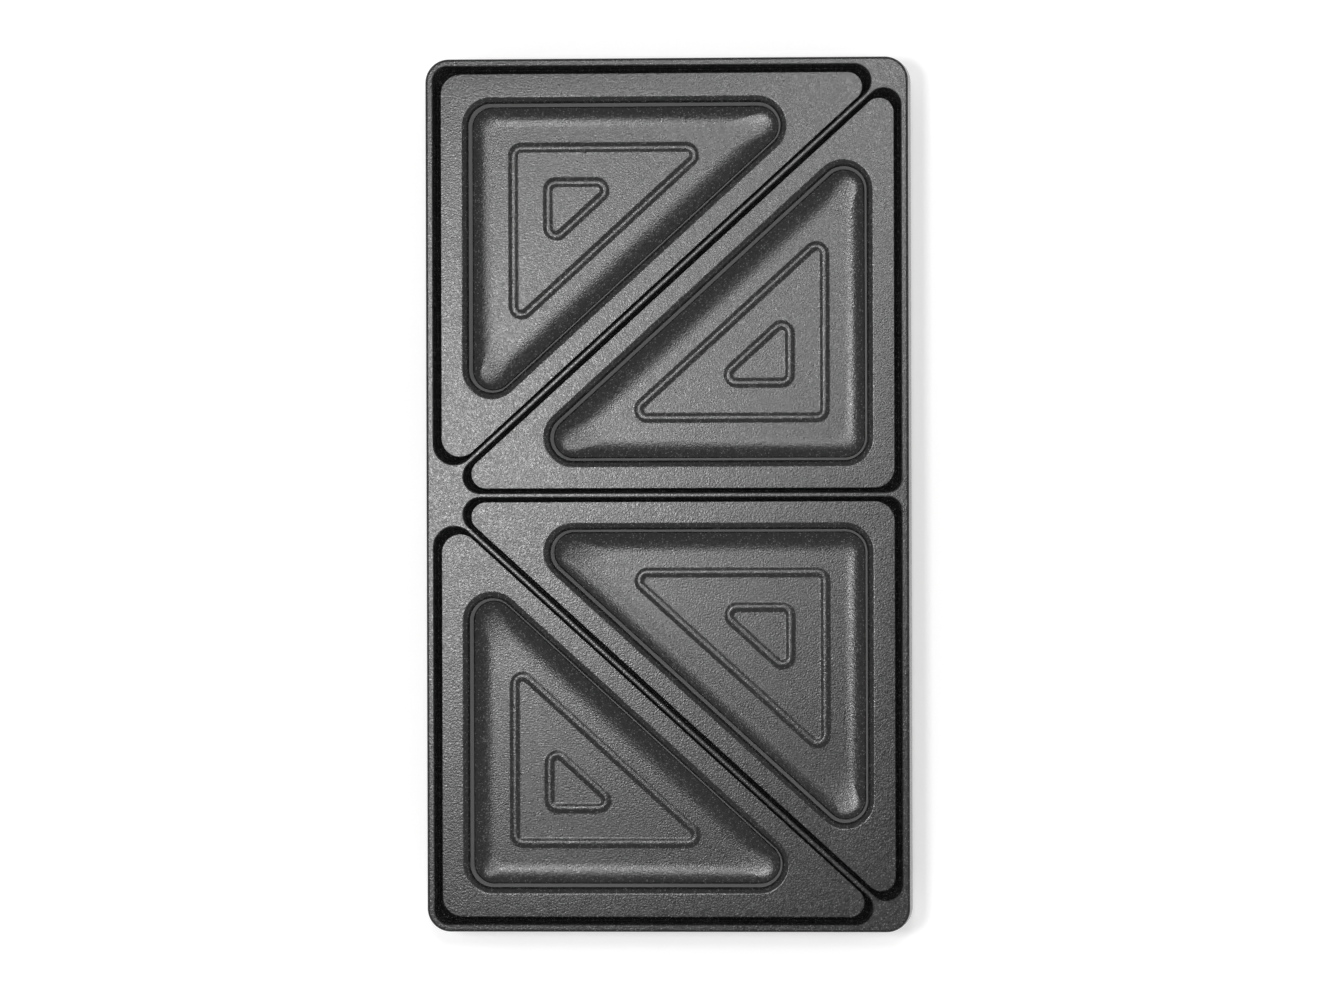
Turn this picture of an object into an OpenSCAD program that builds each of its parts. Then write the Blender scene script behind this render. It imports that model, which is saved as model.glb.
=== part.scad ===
/* [Plate] */
// Width of the plate across its rim
plate_w = 130; // [126:1:150]
// Length of the plate across its rim
plate_l = 235; // [230:1:270]
// Height of the rim above the ends of the posts
plate_h = 26; // [24:0.5:34]
// Radius of the plate's corners, seen from above
corner_r = 6.3; // [5:0.1:9]
// Width of the flat rim round the cells
rim_w = 2.05; // [1.6:0.05:3]
// Rounding of the rim's outer edge
rim_round = 0.7; // [0.3:0.05:1]
// Depth of the outer skirt below the rim
skirt_h = 10; // [8:0.5:13]
// Lean of the skirt outwards, in degrees
skirt_lean = 3; // [1:0.5:4]
// Thickness of the skirt at its foot
skirt_t = 2.6; // [2:0.1:3.4]

/* [Cells] */
// Width of the ridge between the two squares
ridge_w = 1.3; // [1:0.05:2]
// Width of the slanted ridges
slant_w = 1.2; // [1:0.05:2]
// Width of the groove along the rim
groove_w = 1.65; // [1:0.05:2.4]
// Width of the grooves along the ridges
groove_in = 0.95; // [0.6:0.05:1.4]
// Drop from the rim to the lands
land_drop = 2.5; // [1.5:0.1:3.5]
// Drop from the lands to the floor of the grooves
groove_d = 1.8; // [1:0.1:2.5]
// Metal left under the grooves
deck_t = 2.4; // [2:0.1:3.5]
// Rounding of the square corner of a cell
cell_r = 3.8; // [3:0.1:6]
// Rounding of the cells' sharp corners
cell_tip_r = 4.5; // [3.5:0.1:6]
// Rounding of the corner where an outer cell meets the middle of the rim
cell_mid_r = 5.5; // [4:0.1:6.5]
// Rounding of the square corner of a land
land_r = 5.7; // [4:0.1:7]
// Rounding of the lands' sharp corners
land_tip_r = 4.2; // [3:0.1:6]
// Rounding of the corner where an outer land meets the middle of the rim
land_mid_r = 5.2; // [4:0.1:6.5]

/* [Pockets] */
// Width of a land along the sides of the plate
land_side_w = 5.8; // [4:0.1:8]
// Width of a land along the ends of the plate
land_end_w = 6.3; // [4:0.1:8]
// Width of a land along the middle ridge
land_mid_w = 5.9; // [4:0.1:8]
// Width of a land along a slanted ridge
land_slant_w = 4.65; // [3.5:0.05:6]
// Depth of a pocket below its land
pocket_depth = 7.6; // [6:0.1:8.6]
// Rounding of the corners of a pocket's flat floor
floor_round = 0.4; // [0.2:0.1:1]
// Rounding of the pocket's mouth
mouth_round = 1.2; // [0.6:0.1:2]
// Metal left under a pocket
wall_t = 2.8; // [2.4:0.1:4]
// Width of the raised ribs on a pocket's floor
rib_w = 3; // [2:0.1:3.6]
// Height of the raised ribs
rib_h = 0.7; // [0.4:0.05:1.2]
// Distance from the pocket's mouth to the outer rib's centre line
outer_rib_in = 13.4; // [11:0.1:15]
// Distance from the outer rib's centre line to the inner one's
rib_pitch = 9.4; // [6:0.1:10]
// Radius of the ribs' centre lines at their corners
rib_corner_r = 2.2; // [1.9:0.1:3]

/* [Heating tube] */
// Diameter of the heating tube
tube_d = 6.6; // [6:0.1:8]
// Clearance round the tube in its channel
tube_fit = 0.1; // [0.05:0.05:0.3]
// Distance from a side of the plate to the axis of the long run beside it
tube_side_in = 31; // [29:0.5:33]
// Distance from the plate's far end to the axis of the cross run
tube_cross_in = 27.5; // [26:0.5:32]
// Distance from the plate's near end to the tube's two ends
tube_end_in = 25.5; // [24.5:0.5:30]
// Bend radius of the tube, at its axis
bend_r = 22; // [16:0.5:26]
// How far the channel is sunk into the underside of the pockets
tube_sink = 0.6; // [0.3:0.1:1]
// How far the channel's lips reach past the tube's axis
lip_h = 1.2; // [0.6:0.1:2]
// Width of the cast bed that holds the tube
bed_w = 12; // [11:0.5:14]
// Length of tube that stands out of the bed at each end
tube_free = 4; // [2:0.5:8]

/* [Terminals] */
// Diameter of the ceramic seal's collar
seal_d = 6.2; // [5.4:0.1:6.6]
// Length of the seal's collar
seal_l = 4; // [3:0.5:6]
// Diameter of the terminal pin
pin_d = 2.5; // [2:0.1:3]
// Length of pin that shows past the seal
pin_l = 5; // [4:0.5:7]
// Depth of the seal and pin inside the tube
seal_in = 8; // [5:0.5:12]
// Bore of the tube's open end
tube_bore = 4.6; // [4:0.1:5]
// Clearance between tube, seal and pin
seal_fit = 0.05; // [0.05:0.05:0.15]
// Distance from the seal to the blade
blade_gap = 1; // [0.6:0.1:2]
// Distance from a blade's end to its hole
blade_hole_in = 3.2; // [2.6:0.1:4]
// Width of a push-on blade
blade_w = 6.3; // [4.8:0.1:6.5]
// Thickness of a push-on blade
blade_t = 0.8; // [0.5:0.1:1]
// Length of a push-on blade
blade_l = 12; // [9:0.5:14]
// Hole in a push-on blade
blade_hole = 1.8; // [1.2:0.1:2.2]

/* [Posts] */
// Distance from the plate's sides and ends to a post's centre
post_in = 8; // [7.5:0.1:9]
// Diameter of a post
post_d = 9; // [8:0.1:10]
// Core hole for the mounting screws
post_hole = 3.3; // [2.9:0.1:4.2]
// Depth of the hole in a post
post_hole_l = 14; // [8:0.5:16]
// Thickness of the webs that tie a post to the skirt
web_t = 2.5; // [2:0.1:3.5]

/* [Small screws] */
// Core hole for a small screw
small_core = 2.5; // [2.2:0.1:2.8]
// Shank of a small screw
small_shank = 2.4; // [2:0.1:2.7]
// Clearance hole for a small screw
small_clear = 3.2; // [2.9:0.1:3.6]
// Head of a small screw
small_head = 5.5; // [5:0.1:6]
// Height of a small screw's head
small_head_h = 1.9; // [1.5:0.1:2.4]
// Depth of a small screw in the plate
small_grip = 3.6; // [3:0.1:3.8]
// Spare depth past the end of a screw
screw_spare = 0.4; // [0.2:0.1:0.6]
// Width of the slot in a screw's head
slot_w = 0.8; // [0.6:0.1:1]
// Depth of the slot in a screw's head
slot_d = 0.7; // [0.4:0.1:0.9]

/* [Thermostat] */
// Distance from the deck's underside down to the thermostat's seat
stat_seat = 2.8; // [2:0.1:4]
// Distance from the tube's bed to the foot screw beside the stack
foot_near_in = 6; // [5.5:0.5:7]
// Distance from the tube's other bed to the far foot screw
foot_far_in = 10; // [9:0.5:12]
// Distance from the near foot screw to the stack
stack_in = 12; // [11:0.5:13]
// Width of the foot
foot_w = 10; // [8:0.5:11]
// Thickness of the foot
foot_t = 0.8; // [0.6:0.1:1.2]
// Diameter of the ceramic spacers
bead_d = 8.6; // [7:0.1:9]
// Height of the spacer on the foot
bead_foot_h = 2.4; // [2.2:0.1:3]
// Height of the spacer between the bimetal and the spring
bead_mid_h = 2.2; // [1.6:0.1:3]
// Height of the spacer between the spring and the fixed blade
bead_gap_h = 1.8; // [1.4:0.1:2.4]
// Height of the spacer under the arm
bead_arm_h = 1.6; // [1.2:0.1:2]
// Thickness of the bimetal strip
bimetal_t = 0.8; // [0.5:0.1:1]
// Length of the bimetal strip past the stack
bimetal_l = 17; // [14:0.5:19]
// Thickness of the contact spring
spring_t = 0.3; // [0.2:0.05:0.5]
// Thickness of the fixed blade
fixed_t = 0.5; // [0.4:0.1:0.8]
// Length of the two contact blades past the stack
contact_l = 19; // [17:0.5:21]
// Width of the blades in the stack
strip_w = 6.3; // [5:0.1:6.5]
// Diameter of a silver contact
contact_d = 4; // [3:0.1:5]
// Gap between the two silver contacts
contact_gap = 0.2; // [0.1:0.05:0.3]
// Length of the thermostat's push-on blades past the stack
stat_blade_l = 12; // [10:0.5:13]
// Thickness of the arm that carries the adjuster
arm_t = 1; // [0.8:0.1:1.4]
// Distance from the stack to the adjuster
adjuster_x = 11; // [9:0.5:12]
// Diameter of the adjuster's shank
adjuster_d = 3; // [2.5:0.1:3.5]
// Diameter of the stack's rivet
rivet_d = 3; // [2.5:0.1:3.4]
// Bore of the rivet
rivet_bore = 1.8; // [1.2:0.1:2]
// Diameter of the rivet's rolled head
rivet_head = 5; // [4.2:0.1:5.5]
// Height of the rivet's rolled head
rivet_head_h = 0.7; // [0.5:0.1:1]
// Clearance round the rivet and the adjuster
stack_fit = 0.1; // [0.05:0.05:0.2]
// Sideways offset of the thermostat's two push-on blades
stat_blade_y = 4.2; // [3.5:0.1:5]
// Diameter of the ceramic push pin
push_pin_d = 2.2; // [1.6:0.1:3]
// Distance from the bimetal strip's end to the push pin
push_pin_in = 3; // [2:0.1:5]
// Diameter of the adjuster's head
adjuster_head = 5; // [4:0.1:6]
// Height of the adjuster's head
adjuster_head_h = 1.2; // [0.8:0.1:1.5]
// Length of adjuster that shows between its head and the arm
adjuster_gap = 1; // [0.6:0.1:1.2]

/* [Thermal fuse] */
// Distance from the deck's underside down to the fuse's seat
fuse_seat = 3.8; // [3:0.1:5]
// Distance from the plate's side to the fuse's axis
fuse_in = 11; // [10.5:0.1:12]
// Diameter of the fuse
fuse_d = 4; // [3.6:0.1:4.2]
// Length of the fuse
fuse_l = 11; // [9:0.5:12]
// Diameter of the fuse's leads
lead_d = 1; // [0.8:0.1:1.4]
// Length of each lead
lead_l = 9; // [7:0.5:10]
// Wall of the glass-fibre sleeve
sleeve_t = 0.8; // [0.5:0.1:1]
// Clearance between fuse and sleeve
sleeve_fit = 0.1; // [0.05:0.05:0.2]
// Length of the sleeve
sleeve_l = 24; // [20:0.5:26]
// Thickness of the strap over the sleeve
strap_t = 0.8; // [0.6:0.1:1]
// Width of the strap
strap_w = 8; // [6:0.5:10]
// Distance from the fuse to the strap's screw
strap_screw_x = 7.8; // [7.5:0.1:8.5]
// Length of the strap's short foot
strap_foot = 2.2; // [1.5:0.1:2.6]

/* [Earth screw] */
// Distance from the plate's side to the earth screw
earth_in = 13; // [11.5:0.1:14]
// Distance from the deck's underside down to the earth boss's face
earth_seat = 4.3; // [3.5:0.1:5]
// Diameter of the earth boss
earth_boss_d = 10; // [9:0.5:12]
// Core hole for the earth screw
earth_core = 3.3; // [3:0.1:3.6]
// Shank of the earth screw
earth_shank = 3.2; // [2.8:0.1:3.5]
// Head of the earth screw
earth_head = 7; // [6:0.1:8]
// Height of the earth screw's head
earth_head_h = 2.6; // [2:0.1:3]
// Depth of the earth screw in the plate
earth_grip = 4.6; // [3.5:0.1:5]
// Diameter of the toothed washer
washer_d = 8; // [7:0.1:9]
// Thickness of the toothed washer
washer_t = 0.7; // [0.5:0.1:1]
// Number of teeth on the washer
washer_teeth = 10; // [8:1:14]
// Diameter of the ring part of the earth tab
tab_ring_d = 9; // [8:0.1:10]
// Distance from the earth screw to the tab's bent blade
tab_bend_x = 6; // [5:0.1:7]
// Length of the tab's bent blade
tab_blade_l = 10; // [8:0.5:12]

/* [Hidden] */
$fn = 64;

// How far a cut runs past the face that it opens, and a joined form into its neighbour
over = 1;
// How far the straight sides of a rounded outline lie inside its arcs, so that the two cross cleanly
arc_lap = 0.002;

// Heights, from the ends of the posts
rim_z = plate_h;
land_z = rim_z - land_drop;
groove_z = land_z - groove_d;
deck_z = groove_z - deck_t;
floor_z = land_z - pocket_depth;
belly_z = floor_z - wall_t;
skirt_z = rim_z - skirt_h;

// A pocket's wall is a quarter circle below the rounding of its mouth
bowl_r = pocket_depth - mouth_round;
bowl_z = land_z - mouth_round;
belly_r = bowl_r + wall_t;

// The rectangle inside the rim
inside_x = plate_w / 2 - rim_w;
inside_y = plate_l / 2 - rim_w;

// The posts' centres
post_x = plate_w / 2 - post_in;
post_y = plate_l / 2 - post_in;

// The heating tube
tube_x = plate_w / 2 - tube_side_in;
tube_far = plate_l / 2 - tube_cross_in;
tube_near = plate_l / 2 - tube_end_in;
channel_r = tube_d / 2 + tube_fit;
tube_z = belly_z + tube_sink - channel_r;
bed_z = tube_z - lip_h;
bend_x = tube_x - bend_r;
bend_y = tube_far - bend_r;
bed_end = tube_near - tube_free;

// Flat steps in the rounded forms of the pockets
corner_steps = 6;
mouth_steps = 3;
bowl_steps = 7;
rib_steps = 6;
belly_steps = 5;

// Seats of the small parts
fuse_x = plate_w / 2 - fuse_in;
earth_x = plate_w / 2 - earth_in;
stat_z = deck_z - stat_seat;
foot_x1 = bed_w / 2 + foot_near_in - tube_x;
foot_x2 = tube_x - bed_w / 2 - foot_far_in;
stat_x = foot_x1 + stack_in;
fuse_z = deck_z - fuse_seat;
earth_z = deck_z - earth_seat;

// Undersides of the pieces in the thermostat's stack, from the seat down
foot_z = stat_z - foot_t;
bimetal_top = foot_z - bead_foot_h;
bimetal_z = bimetal_top - bimetal_t;
spring_top = bimetal_z - bead_mid_h;
spring_z = spring_top - spring_t;
fixed_top = spring_z - bead_gap_h;
fixed_z = fixed_top - fixed_t;
arm_top = fixed_z - bead_arm_h;
arm_z = arm_top - arm_t;
strip_back = stat_x - bead_d / 2 - over;
contact_x = stat_x + contact_l - contact_d / 2 - slot_w;

// The fuse, its sleeve and its strap
sleeve_r = fuse_d / 2 + sleeve_fit + sleeve_t;
fuse_axis_z = fuse_z - sleeve_r - sleeve_fit;
strap_in_r = sleeve_r + sleeve_fit;
strap_out_r = strap_in_r + strap_t;
strap_long = strap_screw_x + small_head / 2 + sleeve_fit;
strap_short = strap_out_r + strap_foot;

function unit(v) = v / norm(v);
function outward(a, b) = unit([b.y - a.y, a.x - b.x]);
function before(t, k) = outward(t[(k + len(t) - 1) % len(t)], t[k]);
function after(t, k) = outward(t[k], t[(k + 1) % len(t)]);

// A corner moved in by one distance from the side before it and another from the side after it
function moved(v, e, f, de, df) =
    let (c = e * f) v - ((de - c * df) * e + (df - c * de) * f) / (1 - c * c);

// An outline with each side moved in by its own distance
function inset(t, d) = [
    for (k = [0 : len(t) - 1])
        moved(t[k], before(t, k), after(t, k), d[(k + len(t) - 1) % len(t)], d[k])
];
function inset_all(t, d) = inset(t, [for (k = [0 : len(t) - 1]) d]);

// Centres of the arcs that round an outline's corners
function centres(t, r) = [
    for (k = [0 : len(t) - 1]) moved(t[k], before(t, k), after(t, k), r[k], r[k])
];

function rect(hx, hy) = [[hx, hy], [-hx, hy], [-hx, -hy], [hx, -hy]];

// The two cells of the upper square: the corner where two straight sides meet comes first,
// then the corner on the plate's side, then the corner on its end or its middle ridge
cell_outer = inset(
    [[-inside_x, inside_y], [-inside_x, ridge_w / 2], [inside_x, inside_y]], [0, slant_w / 2, 0]);
cell_inner = inset(
    [[inside_x, ridge_w / 2], [inside_x, inside_y], [-inside_x, ridge_w / 2]], [0, slant_w / 2, 0]);

// Outlines of a cell's land and pocket, from the outline of the cell
land_outer = inset(cell_outer, [groove_w, groove_in, groove_w]);
land_inner = inset(cell_inner, [groove_w, groove_in, groove_in]);
mouth_outer = inset(land_outer, [land_side_w, land_slant_w, land_end_w]);
mouth_inner = inset(land_inner, [land_side_w, land_slant_w, land_mid_w]);

cell_outer_r = [cell_r, cell_mid_r, cell_tip_r];
cell_inner_r = [cell_r, cell_tip_r, cell_tip_r];
land_outer_r = [land_r, land_mid_r, land_tip_r];
land_inner_r = [land_r, land_tip_r, land_tip_r];

// A flat outline with rounded corners
module rounded(t, r) {
    c = centres(t, r);
    polygon([
        for (k = [0 : len(t) - 1])
            let (reach = r[k] - arc_lap) each [c[k] + reach * before(t, k), c[k] + reach * after(t, k)]
    ]);
    for (k = [0 : len(t) - 1]) translate(c[k]) circle(r[k]);
}

// Sweeps a profile round an outline. The profile's x is the distance outwards from the arc
// centres, and its y is the height.
module around(c) {
    n = len(c);
    for (k = [0 : n - 1]) {
        next = c[(k + 1) % n];
        e = after(c, k);
        translate(next) rotate([90, 0, atan2(e.y, e.x)]) linear_extrude(norm(next - c[k])) children();
        f = before(c, k);
        translate(c[k]) rotate(atan2(f.y, f.x)) rotate_extrude(angle = acos(e * f)) children();
    }
}

// Puts a form of the upper square into the lower one as well
module both_squares() {
    children();
    mirror([0, 1, 0]) children();
}

// Section of the skirt and deck, out from the centre of a corner
module shell_section() {
    lean = tan(skirt_lean);
    side_x = corner_r - rim_round + rim_round * cos(skirt_lean);
    side_z = rim_z - rim_round + rim_round * sin(skirt_lean);
    foot_x = side_x + (side_z - skirt_z) * lean;
    translate([corner_r - rim_round, rim_z - rim_round]) circle(rim_round);
    polygon([
        [0, deck_z], [foot_x - skirt_t, deck_z], [foot_x - skirt_t, skirt_z], [foot_x, skirt_z],
        [side_x, side_z], [corner_r - rim_round, rim_z - rim_round], [corner_r - rim_round, rim_z],
        [0, rim_z]
    ]);
}

// A level outline: an outline moved in by d, its corners rounded with radius r, at height z
function level(t, d, r, z) =
    let (c = inset_all(t, d + r)) [
        for (k = [0 : len(t) - 1])
            let (e = before(t, k), start = atan2(e.y, e.x), turn = acos(e * after(t, k)))
                for (i = [0 : corner_steps])
                    let (a = start + turn * i / corner_steps)
                        [c[k].x + r * cos(a), c[k].y + r * sin(a), z]
    ];

// A closed solid from level outlines, each a list [inset, radius, height]; its ends are flat
module loft(t, levels) {
    rings = [for (v = levels) level(t, v[0], v[1], v[2])];
    n = len(rings[0]);
    polyhedron([for (ring = rings) each ring], concat(
        [[for (i = [n - 1 : -1 : 0]) i]],
        [for (j = [0 : len(rings) - 2], i = [0 : n - 1])
            [j * n + i, j * n + (i + 1) % n, (j + 1) * n + (i + 1) % n, (j + 1) * n + i]],
        [[for (i = [0 : n - 1]) (len(rings) - 1) * n + i]]
    ));
}

// Levels of a pocket's wall from above the land down to the floor
function mouth_levels() = [
    for (i = [1 : mouth_steps])
        let (a = 90 * i / mouth_steps) [mouth_round * sin(a), bowl_z + mouth_round * cos(a)]
];
function bowl_levels() = [
    for (i = [1 : bowl_steps])
        let (a = 90 * i / bowl_steps)
            [mouth_round + bowl_r * (1 - cos(a)), bowl_z - bowl_r * sin(a)]
];
function wall_levels() = [
    for (v = concat([[0, land_z + over]], mouth_levels(), bowl_levels()))
        [v[0], pocket_depth + floor_round - v[0], v[1]]
];

// Levels of a raised rib, from its outer foot to its inner foot
function rib_levels(d) = [
    for (i = [0 : rib_steps])
        let (x = -cos(180 * i / rib_steps), h = sin(180 * i / rib_steps))
            [d + x * rib_w / 2, rib_corner_r - x * rib_w / 2, floor_z + rib_h * h]
];

// The hollow of one pocket, with its two raised ribs left standing
module pocket(mouth) {
    loft(mouth, concat(
        wall_levels(), rib_levels(outer_rib_in), rib_levels(outer_rib_in + rib_pitch)));
}

// The metal under one pocket, up into the deck
module belly(mouth) {
    rise = deck_z + over - belly_z;
    loft(mouth, [
        for (i = [belly_steps : -1 : 0])
            let (z = belly_z + rise * (1 - cos(90 * i / belly_steps)), h = bowl_z - z)
                let (r = floor_round + sqrt(belly_r * belly_r - h * h))
                    [pocket_depth + floor_round - r, r, z]
    ]);
}

// The groove round one land, and the space above the land
module cell(outline, outline_r, land, land_corner_r) {
    translate([0, 0, land_z]) linear_extrude(land_drop + over) rounded(outline, outline_r);
    translate([0, 0, groove_z]) linear_extrude(groove_d + over) difference() {
        rounded(outline, outline_r);
        rounded(land, land_corner_r);
    }
}

// Flat outline of the bed under the heating tube
module bed_outline() {
    for (s = [-1, 1]) {
        translate([s * tube_x - bed_w / 2, -bed_end]) square([bed_w, bed_end + bend_y]);
        translate([s * bend_x, bend_y]) intersection() {
            difference() {
                circle(bend_r + bed_w / 2);
                circle(bend_r - bed_w / 2);
            }
            translate([s > 0 ? 0 : -2 * bend_r, 0]) square([2 * bend_r, 2 * bend_r]);
        }
    }
    translate([-bend_x, tube_far - bed_w / 2]) square([2 * bend_x, bed_w]);
}

// A round bar along the heating tube's route
module tube_route(r, end_y) {
    for (s = [-1, 1]) {
        translate([s * tube_x, -end_y, tube_z]) rotate([-90, 0, 0]) cylinder(r = r, h = end_y + bend_y);
        translate([s * bend_x, bend_y, tube_z]) rotate(s > 0 ? 0 : 90)
            rotate_extrude(angle = 90) translate([bend_r, 0]) circle(r);
    }
    translate([-bend_x, tube_far, tube_z]) rotate([0, 90, 0]) cylinder(r = r, h = 2 * bend_x);
}

// A screw's place: hole or shank up into the plate from a seat
module bore_up(x, z, d, depth) {
    translate([x, 0, z - over]) cylinder(d = d, h = depth + over);
}

module post(sx, sy) {
    x = sx * post_x;
    y = sy * post_y;
    reach = post_in - skirt_t / 2;
    rise = deck_z - skirt_z + over;
    translate([x, y, 0]) cylinder(d = post_d, h = deck_z + over);
    translate([min(x, x + sx * reach), y - web_t / 2, skirt_z]) cube([reach, web_t, rise]);
    translate([x - web_t / 2, min(y, y + sy * reach), skirt_z]) cube([web_t, reach, rise]);
}

// Seats cast under the deck for the thermostat, the fuse and the earth screw
module seats() {
    pad_l = foot_x2 - foot_x1 + 2 * small_head;
    translate([foot_x1 - small_head, -foot_w / 2 - over, stat_z])
        cube([pad_l, foot_w + 2 * over, stat_seat + over]);
    translate([-fuse_x - strap_short - over / 2, -strap_w / 2 - over, fuse_z])
        cube([strap_short + strap_long + over, strap_w + 2 * over, fuse_seat + over]);
    translate([earth_x, 0, earth_z]) cylinder(d = earth_boss_d, h = earth_seat + over);
}

module cooking_plate() {
    color([0.32, 0.32, 0.33]) {
        difference() {
            union() {
                c = centres(rect(plate_w / 2, plate_l / 2), [corner_r, corner_r, corner_r, corner_r]);
                around(c) shell_section();
                translate([0, 0, deck_z]) linear_extrude(rim_z - deck_z) polygon(c);
                both_squares() {
                    belly(mouth_outer);
                    belly(mouth_inner);
                }
                translate([0, 0, bed_z]) linear_extrude(deck_z - bed_z + over) bed_outline();
                for (sx = [-1, 1], sy = [-1, 1]) post(sx, sy);
                seats();
            }
            both_squares() {
                cell(cell_outer, cell_outer_r, land_outer, land_outer_r);
                cell(cell_inner, cell_inner_r, land_inner, land_inner_r);
                pocket(mouth_outer);
                pocket(mouth_inner);
            }
            tube_route(channel_r, tube_near + seal_l + over);
            for (sx = [-1, 1], sy = [-1, 1]) {
                translate([sx * post_x, sy * post_y, -over])
                    cylinder(d = post_hole, h = post_hole_l + over);
            }
            bore_up(stat_x, stat_z, rivet_head + over, rivet_head_h + screw_spare);
            for (x = [foot_x1, foot_x2]) bore_up(x, stat_z, small_core, small_grip + screw_spare);
            bore_up(strap_screw_x - fuse_x, fuse_z, small_core, small_grip + screw_spare);
            bore_up(earth_x, earth_z, earth_core, earth_grip + screw_spare);
        }
    }
}

// Both ends of the heating tube carry the same parts
module at_tube_ends() {
    for (s = [-1, 1]) translate([s * tube_x, -tube_near, tube_z]) rotate([90, 0, 0]) children();
}

module heating_tube() {
    color([0.55, 0.54, 0.52]) difference() {
        tube_route(tube_d / 2, tube_near);
        at_tube_ends() translate([0, 0, -seal_in]) cylinder(d = tube_bore, h = seal_in + over);
    }
}

module tube_seals() {
    color([0.9, 0.88, 0.82]) at_tube_ends() difference() {
        union() {
            cylinder(d = seal_d, h = seal_l);
            translate([0, 0, -seal_in]) cylinder(d = tube_bore - 2 * seal_fit, h = seal_in + over);
        }
        translate([0, 0, -seal_in - over])
            cylinder(d = pin_d + 2 * seal_fit, h = seal_in + seal_l + 2 * over);
    }
}

// The pin's outer end is cut flat for the blade
module terminal_pins() {
    color([0.75, 0.74, 0.7]) at_tube_ends() difference() {
        translate([0, 0, -seal_in]) cylinder(d = pin_d, h = seal_in + seal_l + pin_l);
        translate([-pin_d, -pin_d, seal_l + blade_gap / 2]) cube([2 * pin_d, pin_d, pin_l]);
    }
}

// Flat push-on blade, lying along x with its foot at x = 0
module blade_outline(length, width) {
    tip = width / 6;
    difference() {
        polygon([
            [0, -width / 2], [length - tip, -width / 2], [length, -width / 2 + tip],
            [length, width / 2 - tip], [length - tip, width / 2], [0, width / 2]
        ]);
        translate([length - blade_hole_in, 0]) circle(d = blade_hole);
    }
}

module terminal_blades() {
    color([0.8, 0.78, 0.72]) at_tube_ends() translate([0, 0, seal_l + blade_gap])
        rotate([0, -90, -90]) linear_extrude(blade_t) blade_outline(blade_l, blade_w);
}

// A flat strip of the stack, lying along x, pierced for the rivet
module stack_strip(x1, x2, width, thickness) {
    difference() {
        translate([x1, -width / 2, 0]) cube([x2 - x1, width, thickness]);
        translate([stat_x, 0, -over]) cylinder(d = rivet_d + 2 * stack_fit, h = thickness + 2 * over);
    }
}

module thermostat_foot() {
    margin = small_head / 2 + over;
    color([0.7, 0.7, 0.7]) translate([0, 0, foot_z]) difference() {
        stack_strip(foot_x1 - margin, foot_x2 + margin, foot_w, foot_t);
        for (x = [foot_x1, foot_x2])
            translate([x, 0, -over]) cylinder(d = small_clear, h = foot_t + 2 * over);
    }
}

module bead(z, h) {
    translate([stat_x, 0, z]) difference() {
        cylinder(d = bead_d, h = h);
        translate([0, 0, -over]) cylinder(d = rivet_d + 2 * stack_fit, h = h + 2 * over);
    }
}

module thermostat_spacers() {
    color([0.93, 0.9, 0.84]) {
        bead(bimetal_top, bead_foot_h);
        bead(spring_top, bead_mid_h);
        bead(fixed_top, bead_gap_h);
        bead(arm_top, bead_arm_h);
    }
}

module thermostat_bimetal() {
    color([0.62, 0.6, 0.55]) translate([0, 0, bimetal_z])
        stack_strip(stat_x - bead_d / 2, stat_x + bimetal_l, strip_w, bimetal_t);
}

module thermostat_push_pin() {
    color([0.93, 0.9, 0.84]) translate([stat_x + bimetal_l - push_pin_in, 0, spring_top])
        cylinder(d = push_pin_d, h = bead_mid_h);
}

// A contact blade with its push-on blade set off to one side, hanging down from z = top
module contact_strip(top, thickness, side) {
    translate([0, 0, top - thickness])
        stack_strip(strip_back, stat_x + contact_l, strip_w, thickness);
    translate([stat_x - bead_d / 2 - stack_fit, side * stat_blade_y, top - blade_t])
        rotate([0, 0, 180]) linear_extrude(blade_t) blade_outline(stat_blade_l, blade_w);
}

module thermostat_spring() {
    color([0.78, 0.6, 0.4]) contact_strip(spring_top, spring_t, 1);
}

module thermostat_fixed_blade() {
    color([0.8, 0.72, 0.5]) contact_strip(fixed_top, fixed_t, -1);
}

module thermostat_contacts() {
    h = (bead_gap_h - contact_gap) / 2;
    color([0.85, 0.85, 0.83]) for (z = [fixed_top, spring_z - h])
        translate([contact_x, 0, z]) cylinder(d = contact_d, h = h);
}

module thermostat_arm() {
    x2 = stat_x + adjuster_x + adjuster_d;
    color([0.7, 0.7, 0.7]) translate([0, 0, arm_z]) difference() {
        stack_strip(stat_x - bead_d / 2, x2, strip_w, arm_t);
        translate([stat_x + adjuster_x, 0, -over])
            cylinder(d = adjuster_d + 2 * stack_fit, h = arm_t + 2 * over);
    }
}

// A slotted head from z = 0 down, and its shank from z = 0 up
module screw(shank_d, shank_l, head_d, head_h) {
    cylinder(d = shank_d, h = shank_l);
    translate([0, 0, -head_h]) difference() {
        cylinder(d = head_d, h = head_h);
        translate([-head_d, -slot_w / 2, -over]) cube([2 * head_d, slot_w, slot_d + over]);
    }
}

module thermostat_adjuster() {
    color([0.8, 0.7, 0.45]) translate([stat_x + adjuster_x, 0, arm_z - adjuster_gap])
        screw(adjuster_d, fixed_z - arm_z + adjuster_gap, adjuster_head, adjuster_head_h);
}

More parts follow.
